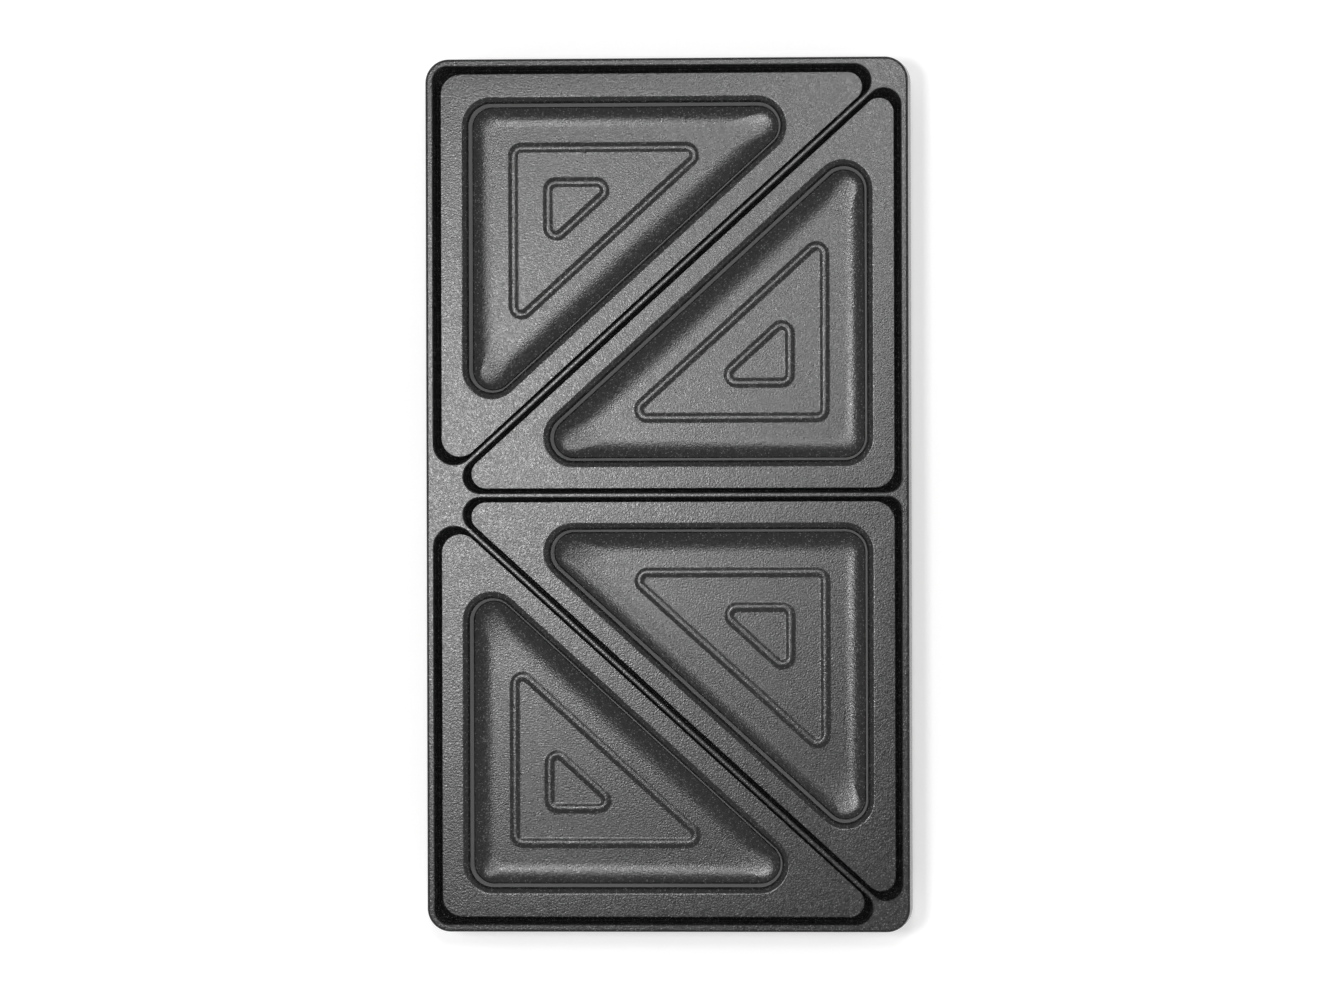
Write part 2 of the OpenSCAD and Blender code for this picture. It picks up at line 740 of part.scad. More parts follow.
module thermostat_rivet() {
    color([0.75, 0.75, 0.75]) translate([stat_x, 0, 0]) difference() {
        union() {
            translate([0, 0, arm_z - rivet_head_h]) cylinder(d = rivet_head, h = rivet_head_h);
            translate([0, 0, arm_z]) cylinder(d = rivet_d, h = stat_z - arm_z);
            translate([0, 0, stat_z]) cylinder(d = rivet_head, h = rivet_head_h);
        }
        translate([0, 0, arm_z - rivet_head_h - over])
            cylinder(d = rivet_bore, h = stat_z - arm_z + 2 * rivet_head_h + 2 * over);
    }
}

module thermostat_screws() {
    color([0.72, 0.72, 0.74]) for (x = [foot_x1, foot_x2]) translate([x, 0, foot_z])
        screw(small_shank, foot_t + small_grip, small_head, small_head_h);
}

// Places a form that is drawn along z on the fuse's axis
module on_fuse_axis() {
    translate([-fuse_x, 0, fuse_axis_z]) rotate([90, 0, 0]) children();
}

module thermal_fuse() {
    color([0.82, 0.8, 0.72]) on_fuse_axis() {
        cylinder(d = fuse_d, h = fuse_l, center = true);
        cylinder(d = lead_d, h = fuse_l + 2 * lead_l, center = true);
    }
}

module fuse_sleeve() {
    color([0.92, 0.9, 0.85]) on_fuse_axis() difference() {
        cylinder(r = sleeve_r, h = sleeve_l, center = true);
        cylinder(d = fuse_d + 2 * sleeve_fit, h = sleeve_l + over, center = true);
    }
}

module fuse_strap() {
    rise = fuse_z - fuse_axis_z;
    color([0.74, 0.74, 0.75]) difference() {
        on_fuse_axis() linear_extrude(strap_w, center = true) {
            difference() {
                circle(strap_out_r);
                circle(strap_in_r);
                translate([-strap_out_r - over, 0]) square([2 * (strap_out_r + over), strap_out_r + over]);
            }
            for (x = [-strap_out_r, strap_in_r]) translate([x, 0]) square([strap_t, rise]);
            translate([-strap_short, rise - strap_t]) square([strap_foot + strap_t, strap_t]);
            translate([strap_in_r, rise - strap_t]) square([strap_long - strap_in_r, strap_t]);
        }
        translate([strap_screw_x - fuse_x, 0, fuse_z - strap_t - over])
            cylinder(d = small_clear, h = strap_t + 2 * over);
    }
}

module fuse_strap_screw() {
    color([0.72, 0.72, 0.74]) translate([strap_screw_x - fuse_x, 0, fuse_z - strap_t])
        screw(small_shank, strap_t + small_grip, small_head, small_head_h);
}

module earth_tab() {
    color([0.8, 0.78, 0.72]) translate([earth_x, 0, earth_z - blade_t]) {
        difference() {
            union() {
                cylinder(d = tab_ring_d, h = blade_t);
                translate([-tab_bend_x - blade_t, -blade_w / 2, 0])
                    cube([tab_bend_x + blade_t, blade_w, blade_t]);
            }
            translate([0, 0, -over]) cylinder(d = earth_core, h = blade_t + 2 * over);
        }
        translate([-tab_bend_x - blade_t, 0, blade_t]) rotate([0, 90, 0])
            linear_extrude(blade_t) blade_outline(tab_blade_l, blade_w);
    }
}

module earth_washer() {
    notch = washer_d * PI / washer_teeth / 2;
    color([0.7, 0.7, 0.72]) translate([earth_x, 0, earth_z - blade_t - washer_t])
        linear_extrude(washer_t) difference() {
            circle(d = washer_d);
            circle(d = earth_core);
            for (k = [0 : washer_teeth - 1]) rotate(360 * k / washer_teeth)
                translate([washer_d / 2 - notch, -notch / 2]) square([2 * notch, notch]);
        }
}

module earth_screw() {
    stack = blade_t + washer_t;
    color([0.78, 0.68, 0.42]) translate([earth_x, 0, earth_z - stack])
        screw(earth_shank, stack + earth_grip, earth_head, earth_head_h);
}

cooking_plate();
heating_tube();
tube_seals();
terminal_pins();
terminal_blades();
thermostat_foot();
thermostat_spacers();
thermostat_bimetal();
thermostat_push_pin();
thermostat_spring();
thermostat_fixed_blade();
thermostat_contacts();
thermostat_arm();
thermostat_adjuster();
thermostat_rivet();
thermostat_screws();
thermal_fuse();
fuse_sleeve();
fuse_strap();
fuse_strap_screw();
earth_tab();
earth_washer();
earth_screw();
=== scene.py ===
"""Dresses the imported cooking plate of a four-triangle snack press.

The plate is rebuilt as one smooth casting from rings of rounded corners. The parts under it get
rounded edges, turned heads, a braided sleeve and finishes of their own. Sizes of the object are in
millimetres and degrees. Meshes, finishes, lamps and the camera are in metres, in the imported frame.
"""

import logging
import math
from collections.abc import Callable, Iterator, Sequence
from contextlib import contextmanager
from dataclasses import dataclass, field
from enum import Enum

import bmesh
import bpy
import numpy as np
from mathutils import Matrix, Vector


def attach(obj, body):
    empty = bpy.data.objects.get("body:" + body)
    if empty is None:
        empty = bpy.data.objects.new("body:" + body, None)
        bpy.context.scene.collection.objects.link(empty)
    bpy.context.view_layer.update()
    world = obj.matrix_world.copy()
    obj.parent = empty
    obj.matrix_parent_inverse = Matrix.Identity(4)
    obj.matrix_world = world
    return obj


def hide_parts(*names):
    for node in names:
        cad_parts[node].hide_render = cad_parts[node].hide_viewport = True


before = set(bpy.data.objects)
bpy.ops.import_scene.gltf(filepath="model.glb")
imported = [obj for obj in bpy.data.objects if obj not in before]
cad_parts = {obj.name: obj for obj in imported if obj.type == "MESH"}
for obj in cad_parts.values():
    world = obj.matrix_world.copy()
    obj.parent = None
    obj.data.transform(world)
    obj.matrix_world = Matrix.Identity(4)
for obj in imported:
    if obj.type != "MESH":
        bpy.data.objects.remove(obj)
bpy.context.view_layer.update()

log = logging.getLogger("cooking_plate")

MM = 0.001
MERGE = 1e-6
FLAT_ANGLE = math.radians(0.5)
EDGE_ANGLE = math.radians(30.0)

Piece = bpy.types.Object
Point = tuple[float, float]
Place = tuple[float, float, float]
Spot = tuple[float, float, float, float]
Colour = tuple[float, float, float, float]
Value = "Port | float | int | tuple | str | bpy.types.ID"


class Solid(Enum):
    """How one solid changes another."""

    JOIN = "UNION"
    CUT = "DIFFERENCE"


class Slot(Enum):
    """The record's material slots."""

    COATED_ALUMINIUM = "coated_aluminium"
    TUBE_STEEL = "tube_steel"
    ZINC_STEEL = "zinc_steel"
    CERAMIC = "ceramic"
    BIMETAL = "bimetal"
    SPRING_BRONZE = "spring_bronze"
    BRASS = "brass"
    TINNED = "tinned"
    SILVER = "silver"
    FUSE_CASE = "fuse_case"
    GLASS_FIBRE = "glass_fibre"


def operator(operation: str, reflected: bool = False) -> Callable[["Port", Value], "Port"]:
    """Makes the method behind one of Port's operators.

    Args:
        operation: The Math node's operation.
        reflected: Whether the other value comes first.

    Returns:
        The method.
    """

    def method(self: "Port", other: Value) -> "Port":
        """Adds the Math node for the two values."""
        values = (other, self) if reflected else (self, other)
        return self.graph.node("ShaderNodeMath", {"operation": operation}, *values)

    return method


class Port:
    """An output of a node, on which arithmetic adds Math nodes."""

    __add__, __radd__ = operator("ADD"), operator("ADD", reflected=True)
    __sub__, __rsub__ = operator("SUBTRACT"), operator("SUBTRACT", reflected=True)
    __mul__, __truediv__, __gt__ = operator("MULTIPLY"), operator("DIVIDE"), operator("GREATER_THAN")

    def __init__(self, graph: "Graph", socket: bpy.types.NodeSocket) -> None:
        """Keeps the socket and the graph that it belongs to."""
        self.graph = graph
        self.socket = socket

    def apply(self, operation: str) -> "Port":
        """A Math node's result on this value alone."""
        return self.graph.node("ShaderNodeMath", {"operation": operation}, self)


class Graph:
    """A node tree that is written as expressions."""

    def __init__(self, tree: bpy.types.NodeTree) -> None:
        """Keeps the tree."""
        self.tree = tree

    def feed(self, socket: bpy.types.NodeSocket, value: Value) -> None:
        """Links a port to a socket, or sets the socket's own value.

        Args:
            socket: The socket.
            value: The port or the value.
        """
        if isinstance(value, Port):
            self.tree.links.new(value.socket, socket)
        else:
            socket.default_value = value

    def add(self, kind: str, settings: dict[str, object], *values: Value, **named: Value) -> bpy.types.Node:
        """Adds a node of any kind.

        Args:
            kind: The node's type.
            settings: Its properties, set before its sockets.
            values: What goes into its shown sockets, in order.
            named: What goes into sockets by name, with underscores for spaces.

        Returns:
            The node.
        """
        node = self.tree.nodes.new(kind)
        for key, value in settings.items():
            setattr(node, key, value)
        shown = [socket for socket in node.inputs if socket.enabled]
        for socket, value in zip(shown, values):
            self.feed(socket, value)
        for name, value in named.items():
            self.feed(next(s for s in shown if s.name == name.replace("_", " ")), value)
        return node

    def node(self, kind: str, settings: dict[str, object], *values: Value, out: str = "",
             **named: Value) -> Port:
        """Adds a node, as add() does.

        Args:
            kind: The node's type.
            settings: Its properties.
            values: What goes into its shown sockets, in order.
            out: The output's name, or nothing for the first one.
            named: What goes into sockets by name.

        Returns:
            The chosen output.
        """
        node = self.add(kind, settings, *values, **named)
        return Port(self, next(s for s in node.outputs if s.enabled and (not out or s.name == out)))

    def outputs(self, kind: str, names: Sequence[str], *values: Value, **named: Value) -> list[Port]:
        """Several outputs of one new node, by name."""
        node = self.add(kind, {}, *values, **named)
        return [Port(self, node.outputs[name]) for name in names]

    def mix(self, factor: Value, a: Value, b: Value) -> Port:
        """Blends two colours, from the first at 0 to the second at 1."""
        return self.node("ShaderNodeMix", {"data_type": "RGBA"}, factor, a, b)

    def ramp(self, value: Value, span: Point) -> Port:
        """Maps a span of values smoothly to 0..1, held at its ends."""
        return self.node("ShaderNodeMapRange", {"interpolation_type": "SMOOTHSTEP"}, value, *span)

    def along_z(self, value: Value) -> Port:
        """A vector along Z."""
        return self.node("ShaderNodeCombineXYZ", {}, 0.0, 0.0, value)

    def attribute(self, name: str) -> Port:
        """A number that the base mesh holds at each vertex."""
        return self.node("GeometryNodeInputNamedAttribute", {"data_type": "FLOAT"}, name)

    def joined(self, parts: Sequence[Port]) -> Port:
        """Several geometries as one.

        Args:
            parts: The geometries.

        Returns:
            All of them together.
        """
        join = self.add("GeometryNodeJoinGeometry", {})
        for part in parts:
            self.tree.links.new(part.socket, join.inputs[0])
        return Port(self, join.outputs[0])


class Recipe:
    """A geometry tree with named inputs, whose result is turned into a plain mesh."""

    name = "recipe"
    inputs: dict[str, str] = {}

    def __init__(self) -> None:
        """Builds the tree once."""
        self.tree = bpy.data.node_groups.new(self.name, "GeometryNodeTree")
        self.sockets: dict[str, str] = {}
        for name, kind in {"Geometry": "Geometry", **self.inputs, "Material": "Material"}.items():
            socket = self.tree.interface.new_socket(name, in_out="INPUT", socket_type=f"NodeSocket{kind}")
            self.sockets[name] = socket.identifier
        self.tree.interface.new_socket("Geometry", in_out="OUTPUT", socket_type="NodeSocketGeometry")
        graph = Graph(self.tree)
        start = self.tree.nodes.new("NodeGroupInput")
        ports = {socket.name: Port(graph, socket) for socket in start.outputs if socket.name}
        whole = graph.node("GeometryNodeRealizeInstances", {}, self.shape(graph, ports))
        dressed = graph.node("GeometryNodeSetMaterial", {}, whole, Material=ports["Material"])
        end = self.tree.nodes.new("NodeGroupOutput")
        self.tree.links.new(dressed.socket, end.inputs[0])

    def shape(self, graph: Graph, ports: dict[str, Port]) -> Port:
        """Adds the recipe's own nodes.

        Args:
            graph: The tree.
            ports: The tree's inputs by name.

        Returns:
            The geometry.
        """
        raise NotImplementedError

    def make(self, name: str, base: bpy.types.Mesh, finish: "Finish", **values: Value) -> Piece:
        """Runs the tree.

        Args:
            name: The new object's name.
            base: The mesh that the tree starts from.
            finish: What the shape is made of.
            values: The tree's other inputs, with underscores for spaces.

        Returns:
            An object with a plain mesh.
        """
        source = linked(name + "_source", base)
        modifier = source.modifiers.new(self.name, "NODES")
        modifier.node_group = self.tree
        modifier[self.sockets["Material"]] = finish.material()
        for key, value in values.items():
            modifier[self.sockets[key.replace("_", " ")]] = value
        return baked(source, name)


class RingSkin(Recipe):
    """Skins a stack of rings, each made of arcs round its corners, and caps both ends.

    The base mesh has one vertex for each corner of each ring, at the centre of the corner's arc,
    with the arc's radius, start angle and turn as attributes.
    """

    name = "ring skin"
    inputs = {"Corners": "Int", "Arc steps": "Int"}

    def shape(self, graph: Graph, ports: dict[str, Port]) -> Port:
        """Adds the skin's own nodes.

        Args:
            graph: The tree.
            ports: The tree's inputs by name.

        Returns:
            The closed skin.
        """
        base, corners, steps = ports["Geometry"], ports["Corners"], ports["Arc steps"]
        per_corner = steps + 1
        around = corners * per_corner
        rings = graph.node("GeometryNodeAttributeDomainSize", {"component": "MESH"}, base) / corners
        index = graph.node("GeometryNodeInputIndex", {})

        def place(ring: Value, step: Port) -> Port:
            """The place of one point of one ring.

            Args:
                ring: The ring's number.
                step: The point's number in its ring.

            Returns:
                The place.
            """
            corner = ((step + 0.5) / per_corner).apply("FLOOR")
            at = corner + ring * corners if isinstance(ring, Port) else corner

            def read(kind: str, value: Port) -> Port:
                """One attribute of the corner's arc."""
                settings = {"data_type": kind, "domain": "POINT"}
                return graph.node("GeometryNodeSampleIndex", settings, base, value, at)

            centre = read("FLOAT_VECTOR", graph.node("GeometryNodeInputPosition", {}))
            start, turn, radius = (read("FLOAT", graph.attribute(key)) for key in ("start", "turn", "radius"))
            angle = start + turn * (step - corner * per_corner) / steps
            x, y = radius * angle.apply("COSINE"), radius * angle.apply("SINE")
            reach = graph.node("ShaderNodeCombineXYZ", {}, x, y)
            return graph.node("ShaderNodeVectorMath", {"operation": "ADD"}, centre, reach)

        def cap(ring: Value) -> Port:
            """A flat face over one ring."""
            disc = graph.node("GeometryNodeMeshCircle", {"fill_type": "NGON"}, around)
            return graph.node("GeometryNodeSetPosition", {}, disc, Position=place(ring, index))

        seam = around + 1
        ring = ((index + 0.5) / seam).apply("FLOOR")
        step = index - ring * seam
        step = step - around * (step > around - 0.5)
        sheet = graph.node("GeometryNodeMeshGrid", {}, Vertices_X=rings, Vertices_Y=seam)
        wall = graph.node("GeometryNodeSetPosition", {}, sheet, Position=place(ring, step))
        whole = graph.joined((wall, cap(0), cap(rings - 1)))
        return graph.node("GeometryNodeMergeByDistance", {}, whole, Distance=MERGE)


class PathBar(Recipe):
    """Sweeps a rectangle with rounded corners along a path of edges. A full rounding makes it round."""

    name = "path bar"
    inputs = {"Width": "Float", "Height": "Float", "Rounding": "Float", "Round steps": "Int"}

    def shape(self, graph: Graph, ports: dict[str, Port]) -> Port:
        """Adds the bar's own nodes.

        Args:
            graph: The tree.
            ports: The tree's inputs by name.

        Returns:
            The closed bar.
        """
        path = graph.node("GeometryNodeMeshToCurve", {}, ports["Geometry"])
        path = graph.node("GeometryNodeSetCurveNormal", {"mode": "Z_UP"}, path)
        sides = graph.node(
            "GeometryNodeCurvePrimitiveQuadrilateral", {"mode": "RECTANGLE"},
            Width=ports["Width"], Height=ports["Height"])
        profile = graph.node(
            "GeometryNodeFilletCurve", {"mode": "POLY"}, sides,
            Count=ports["Round steps"], Radius=ports["Rounding"], Limit_Radius=True)
        return graph.node("GeometryNodeCurveToMesh", {}, path, profile, Fill_Caps=True)


class Copies(Recipe):
    """Puts one shape on every vertex of the base mesh, turned about Z by its own angle."""

    name = "copies"
    inputs = {"Shape": "Object"}

    def shape(self, graph: Graph, ports: dict[str, Port]) -> Port:
        """Adds the copies' own nodes.

        Args:
            graph: The tree.
            ports: The tree's inputs by name.

        Returns:
            The copies.
        """
        shape = graph.node("GeometryNodeObjectInfo", {}, ports["Shape"], out="Geometry")
        points = graph.node("GeometryNodeMeshToPoints", {}, ports["Geometry"])
        turn = graph.along_z(graph.attribute("angle"))
        return graph.node("GeometryNodeInstanceOnPoints", {}, points, Instance=shape, Rotation=turn)


class Braid(Recipe):
    """Two crossing families of helical strands round the Z axis, about z = 0."""

    name = "braid"
    inputs = {"Radius": "Float", "Length": "Float", "Turns": "Float", "Strands": "Int", "Strand": "Float"}
    bend_steps = 22
    strand_sides = 5

    def shape(self, graph: Graph, ports: dict[str, Port]) -> Port:
        """Adds the braid's own nodes.

        Args:
            graph: The tree.
            ports: The tree's inputs by name.

        Returns:
            The strands.
        """
        section = graph.node(
            "GeometryNodeCurvePrimitiveCircle", {}, self.strand_sides, Radius=ports["Strand"])
        spots = graph.node("GeometryNodeMeshLine", {}, ports["Strands"], Offset=(0.0, 0.0, 0.0))
        share = graph.node("GeometryNodeInputIndex", {}) / ports["Strands"]
        turn = graph.along_z(share * math.tau)
        families = []
        for backwards in (False, True):
            helix = graph.node(
                "GeometryNodeCurveSpiral", {}, Resolution=self.bend_steps, Rotations=ports["Turns"],
                Start_Radius=ports["Radius"], End_Radius=ports["Radius"], Height=ports["Length"],
                Reverse=backwards)
            strand = graph.node("GeometryNodeCurveToMesh", {}, helix, section, Fill_Caps=True)
            families.append(
                graph.node("GeometryNodeInstanceOnPoints", {}, spots, Instance=strand, Rotation=turn))
        drop = graph.along_z(ports["Length"] * -0.5)
        return graph.node("GeometryNodeTransform", {}, graph.joined(families), Translation=drop)


def linked(name: str, data: bpy.types.ID) -> Piece:
    """Makes an object in the scene.

    Args:
        name: Its name.
        data: Its mesh, light or camera.

    Returns:
        The object.
    """
    made = bpy.data.objects.new(name, data)
    bpy.context.scene.collection.objects.link(made)
    return made


@contextmanager
def edited(mesh: bpy.types.Mesh) -> Iterator[bmesh.types.BMesh]:
    """Opens a mesh for editing, and writes it back at the end.

    Args:
        mesh: The mesh.

    Yields:
        Its editable form.
    """
    work = bmesh.new()
    work.from_mesh(mesh)
    yield work
    work.to_mesh(mesh)
    work.free()


def baked(source: Piece, name: str) -> Piece:
    """Turns an object with modifiers into one with a plain mesh.

    Args:
        source: The object, which is removed.
        name: The new object's name.

    Returns:
        The plain object.
    """
    graph = bpy.context.evaluated_depsgraph_get()
    mesh = bpy.data.meshes.new_from_object(source.evaluated_get(graph), depsgraph=graph)
    bpy.data.objects.remove(source)
    mesh.name = name
    return linked(name, mesh)


def closed_up(piece: Piece) -> Piece:
    """Points a closed mesh's faces outwards.

    Args:
        piece: The solid.

    Returns:
        The same solid.
    """
    with edited(piece.data) as work:
        bmesh.ops.recalc_face_normals(work, faces=work.faces)
    return piece


def smoothed(piece: Piece, crease: float = 38.0) -> Piece:
    """Shades a piece smoothly, with its flat faces kept flat and its creases sharp.

    Args:
        piece: The object, which is used up.
        crease: The angle in degrees past which an edge is sharp.

    Returns:
        An object with the shading in its mesh.
    """
    name = piece.name
    piece.data.shade_smooth()
    piece.data.set_sharp_from_angle(angle=math.radians(crease))
    piece.modifiers.new("weigh", "WEIGHTED_NORMAL").keep_sharp = True
    piece.name = name + "_rough"
    return baked(piece, name)


def combined(base: Piece, steps: Sequence[tuple[Solid, Piece]]) -> Piece:
    """Joins solids to a base and cuts others out of it, in order.

    Args:
        base: The first solid.
        steps: Each way and solid, which is used up.

    Returns:
        The result.
    """
    name = base.name
    base.name = name + "_base"
    for way, other in steps:
        modifier = base.modifiers.new(other.name, "BOOLEAN")
        modifier.operation = way.value
        modifier.solver = "MANIFOLD"
        modifier.object = other
    result = baked(base, name)
    for _, other in steps:
        bpy.data.objects.remove(other)
    return result


def both(way: Solid, piece: Piece) -> list[tuple[Solid, Piece]]:
    """Steps for a solid of the upper square and its mirror image across y = 0.

    Args:
        way: What the two solids do.
        piece: The upper one.

    Returns:
        The two steps.
    """
    mesh = piece.data.copy()
    mesh.transform(Matrix.Diagonal((1.0, -1.0, 1.0, 1.0)))
    return [(way, piece), (way, closed_up(linked(piece.name + "_lower", mesh)))]


def merged(name: str, parts: Sequence[Piece]) -> Piece:
    """Puts separate solids into one object.

    Args:
        name: The object's name.
        parts: The solids, which are used up.

    Returns:
        The object.
    """
    mesh = bpy.data.meshes.new(name)
    with edited(mesh) as work:
        for part in parts:
            work.from_mesh(part.data)
    mesh.materials.append(parts[0].data.materials[0])
    for part in parts:
        bpy.data.objects.remove(part)
    return linked(name, mesh)


def side_normals(corners: Sequence[Point]) -> list[Point]:
    """The unit normals that point out of an outline's sides.

    Args:
        corners: The outline's corners, anticlockwise.

    Returns:
        One for each side, the side after the first corner first.
    """
    ends = zip(corners, (*corners[1:], corners[0]))
    spans = [(b[0] - a[0], b[1] - a[1]) for a, b in ends]
    return [(y / math.hypot(x, y), -x / math.hypot(x, y)) for x, y in spans]


def moved(corner: Point, before: Point, after: Point, in_before: float, in_after: float) -> Point:
    """Moves a corner in with its two sides.

    Args:
        corner: The corner.
        before: The outward normal of the side before it.
        after: The outward normal of the side after it.
        in_before: How far the side before it moves in.
        in_after: How far the side after it moves in.

    Returns:
        The new corner.
    """
    cosine = before[0] * after[0] + before[1] * after[1]
    scale = 1 - cosine * cosine
    a = (in_before - cosine * in_after) / scale
    b = (in_after - cosine * in_before) / scale
    return corner[0] - a * before[0] - b * after[0], corner[1] - a * before[1] - b * after[1]


@dataclass(frozen=True)
class Outline:
    """A flat outline with a round corner at each of its corners, anticlockwise."""

    centres: tuple[Point, ...]
    radii: tuple[float, ...]
    starts: tuple[float, ...]
    turns: tuple[float, ...]
    corners: tuple[Point, ...] = ()

    @staticmethod
    def circle(x: float, y: float, radius: float) -> "Outline":
        """A circle, as four quarter turns round one centre."""
        turn = math.pi / 2
        return Outline(((x, y),) * 4, (radius,) * 4, tuple(k * turn for k in range(4)), (turn,) * 4)

    @staticmethod
    def polygon(corners: Sequence[Point], radii: Sequence[float]) -> "Outline":
        """An outline with straight sides.

        Args:
            corners: Its sharp corners.
            radii: The rounding of each.

        Returns:
            The outline.
        """
        normals = side_normals(corners)
        centres, starts, turns = [], [], []
        for k, corner in enumerate(corners):
            before, after = normals[k - 1], normals[k]
            centres.append(moved(corner, before, after, radii[k], radii[k]))
            starts.append(math.atan2(before[1], before[0]))
            turns.append(math.acos(before[0] * after[0] + before[1] * after[1]))
        return Outline(tuple(centres), tuple(radii), tuple(starts), tuple(turns), tuple(corners))

    @staticmethod
    def rectangle(x: Point, y: Point, radius: float) -> "Outline":
        """A rectangle from its two spans, with one rounding."""
        return Outline.polygon(((x[1], y[1]), (x[0], y[1]), (x[0], y[0]), (x[1], y[0])), (radius,) * 4)

    def inset(self, distances: Sequence[float], radii: Sequence[float]) -> "Outline":
        """Moves each side in by its own distance.

        Args:
            distances: One for each side, the side after the first corner first.
            radii: The rounding of each new corner.

        Returns:
            The new outline.
        """
        normals = side_normals(self.corners)
        corners = [
            moved(corner, normals[k - 1], normals[k], distances[k - 1], distances[k])
            for k, corner in enumerate(self.corners)
        ]
        return Outline.polygon(corners, radii)


@dataclass(frozen=True)
class Ring:
    """An outline moved in by a distance, at a height."""

    outline: Outline
    inset: float
    z: float


def quarter(steps: int) -> list[Point]:
    """Points of a quarter turn, as (1 - cosine, sine), from its start to its end."""
    angles = [math.pi / 2 * i / steps for i in range(steps + 1)]
    return [(1 - math.cos(a), math.sin(a)) for a in angles]


def foot_edge(radius: float, low: float, turn: float, steps: int = 4) -> list[Point]:
    """The rounded lower edge of a turned solid, from its flat end to its side."""
    return [(radius - turn * (1 - s), low + turn * c) for c, s in quarter(steps)]


def top_edge(radius: float, high: float, turn: float, steps: int = 4) -> list[Point]:
    """The rounded upper edge of a turned solid, from its side to its flat end."""
    return [(radius - turn * c, high - turn * (1 - s)) for c, s in quarter(steps)]


@dataclass
class Workshop:
    """Makes solids with the recipes."""

    skin: RingSkin = field(default_factory=RingSkin)
    bar: PathBar = field(default_factory=PathBar)
    copies: Copies = field(default_factory=Copies)
    braid: Braid = field(default_factory=Braid)

    def rings(self, name: str, rings: Sequence[Ring], finish: "Finish", steps: int = 8) -> Piece:
        """A closed solid from a stack of rings.

        Args:
            name: The object's name.
            rings: The rings, from one end to the other.
            finish: What it is made of.
            steps: Steps in each corner's arc.

        Returns:
            The solid.
        """
        table = np.array([
            (*centre, ring.z, radius - ring.inset, start, turn)
            for ring in rings
            for centre, radius, start, turn in zip(
                ring.outline.centres, ring.outline.radii, ring.outline.starts, ring.outline.turns)
        ], np.float64)
        mesh = bpy.data.meshes.new(name + "_corners")
        mesh.from_pydata((table[:, :3] * MM).tolist(), [], [])
        for column, (key, unit) in enumerate((("radius", MM), ("start", 1.0), ("turn", 1.0)), start=3):
            values = mesh.attributes.new(key, "FLOAT", "POINT").data
            values.foreach_set("value", (table[:, column] * unit).astype(np.float32))
        corners = len(rings[0].outline.centres)
        return closed_up(self.skin.make(name, mesh, finish, Corners=corners, Arc_steps=steps))

    def turned(self, name: str, profile: Sequence[Point], finish: "Finish", at: Point = (0.0, 0.0),
               steps: int = 10) -> Piece:
        """A solid turned about a vertical axis.

        Args:
            name: The object's name.
            profile: Radius and height, from one end to the other.
            finish: What it is made of.
            at: The axis.
            steps: Steps in a quarter turn.

        Returns:
            The solid.
        """
        return self.rings(name, [Ring(Outline.circle(*at, r), 0.0, z) for r, z in profile], finish, steps)

    def extruded(self, name: str, outline: Outline, profile: Sequence[Point], finish: "Finish",
                 steps: int) -> Piece:
        """A solid whose outline grows and shrinks with its height.

        Args:
            name: The object's name.
            outline: The outline.
            profile: How far out of the outline the side lies, and its height, from end to end.
            finish: What it is made of.
            steps: Steps in each corner.

        Returns:
            The solid.
        """
        return self.rings(name, [Ring(outline, -reach, z) for reach, z in profile], finish, steps)

    def bored(self, piece: Piece, profile: Sequence[Point], finish: "Finish",
              at: Point = (0.0, 0.0)) -> Piece:
        """Cuts a turned hole into a solid."""
        return combined(piece, [(Solid.CUT, self.turned(piece.name + "_bore", profile, finish, at))])

    def along(self, name: str, path: Sequence[Place], size: Point, rounding: float, finish: "Finish",
              steps: int = 5) -> Piece:
        """A bar along a path.

        Args:
            name: The object's name.
            path: The bar's centre line.
            size: Its width across the path and its height.
            rounding: The rounding of its edges.
            finish: What it is made of.
            steps: Points in each rounding.

        Returns:
            The solid.
        """
        mesh = bpy.data.meshes.new(name + "_path")
        points = (np.array(path) * MM).tolist()
        mesh.from_pydata(points, [(i, i + 1) for i in range(len(points) - 1)], [])
        made = self.bar.make(
            name, mesh, finish, Width=size[0] * MM, Height=size[1] * MM, Rounding=rounding * MM,
            Round_steps=steps)
        with edited(made.data) as work:
            bmesh.ops.remove_doubles(work, verts=work.verts, dist=MERGE)
        return closed_up(made)

    def placed(self, name: str, shape: Piece, spots: Sequence[Spot], finish: "Finish") -> Piece:
        """Copies of one shape.

        Args:
            name: The object's name.
            shape: What is copied, which is used up.
            spots: X, y, z and the turn about Z in degrees of each copy.
            finish: What it is made of.

        Returns:
            One object with all the copies.
        """
        mesh = bpy.data.meshes.new(name + "_spots")
        mesh.from_pydata([(x * MM, y * MM, z * MM) for x, y, z, _ in spots], [], [])
        angles = np.array([math.radians(spot[3]) for spot in spots], np.float32)
        mesh.attributes.new("angle", "FLOAT", "POINT").data.foreach_set("value", angles)
        made = self.copies.make(name, mesh, finish, Shape=shape)
        bpy.data.objects.remove(shape)
        return made


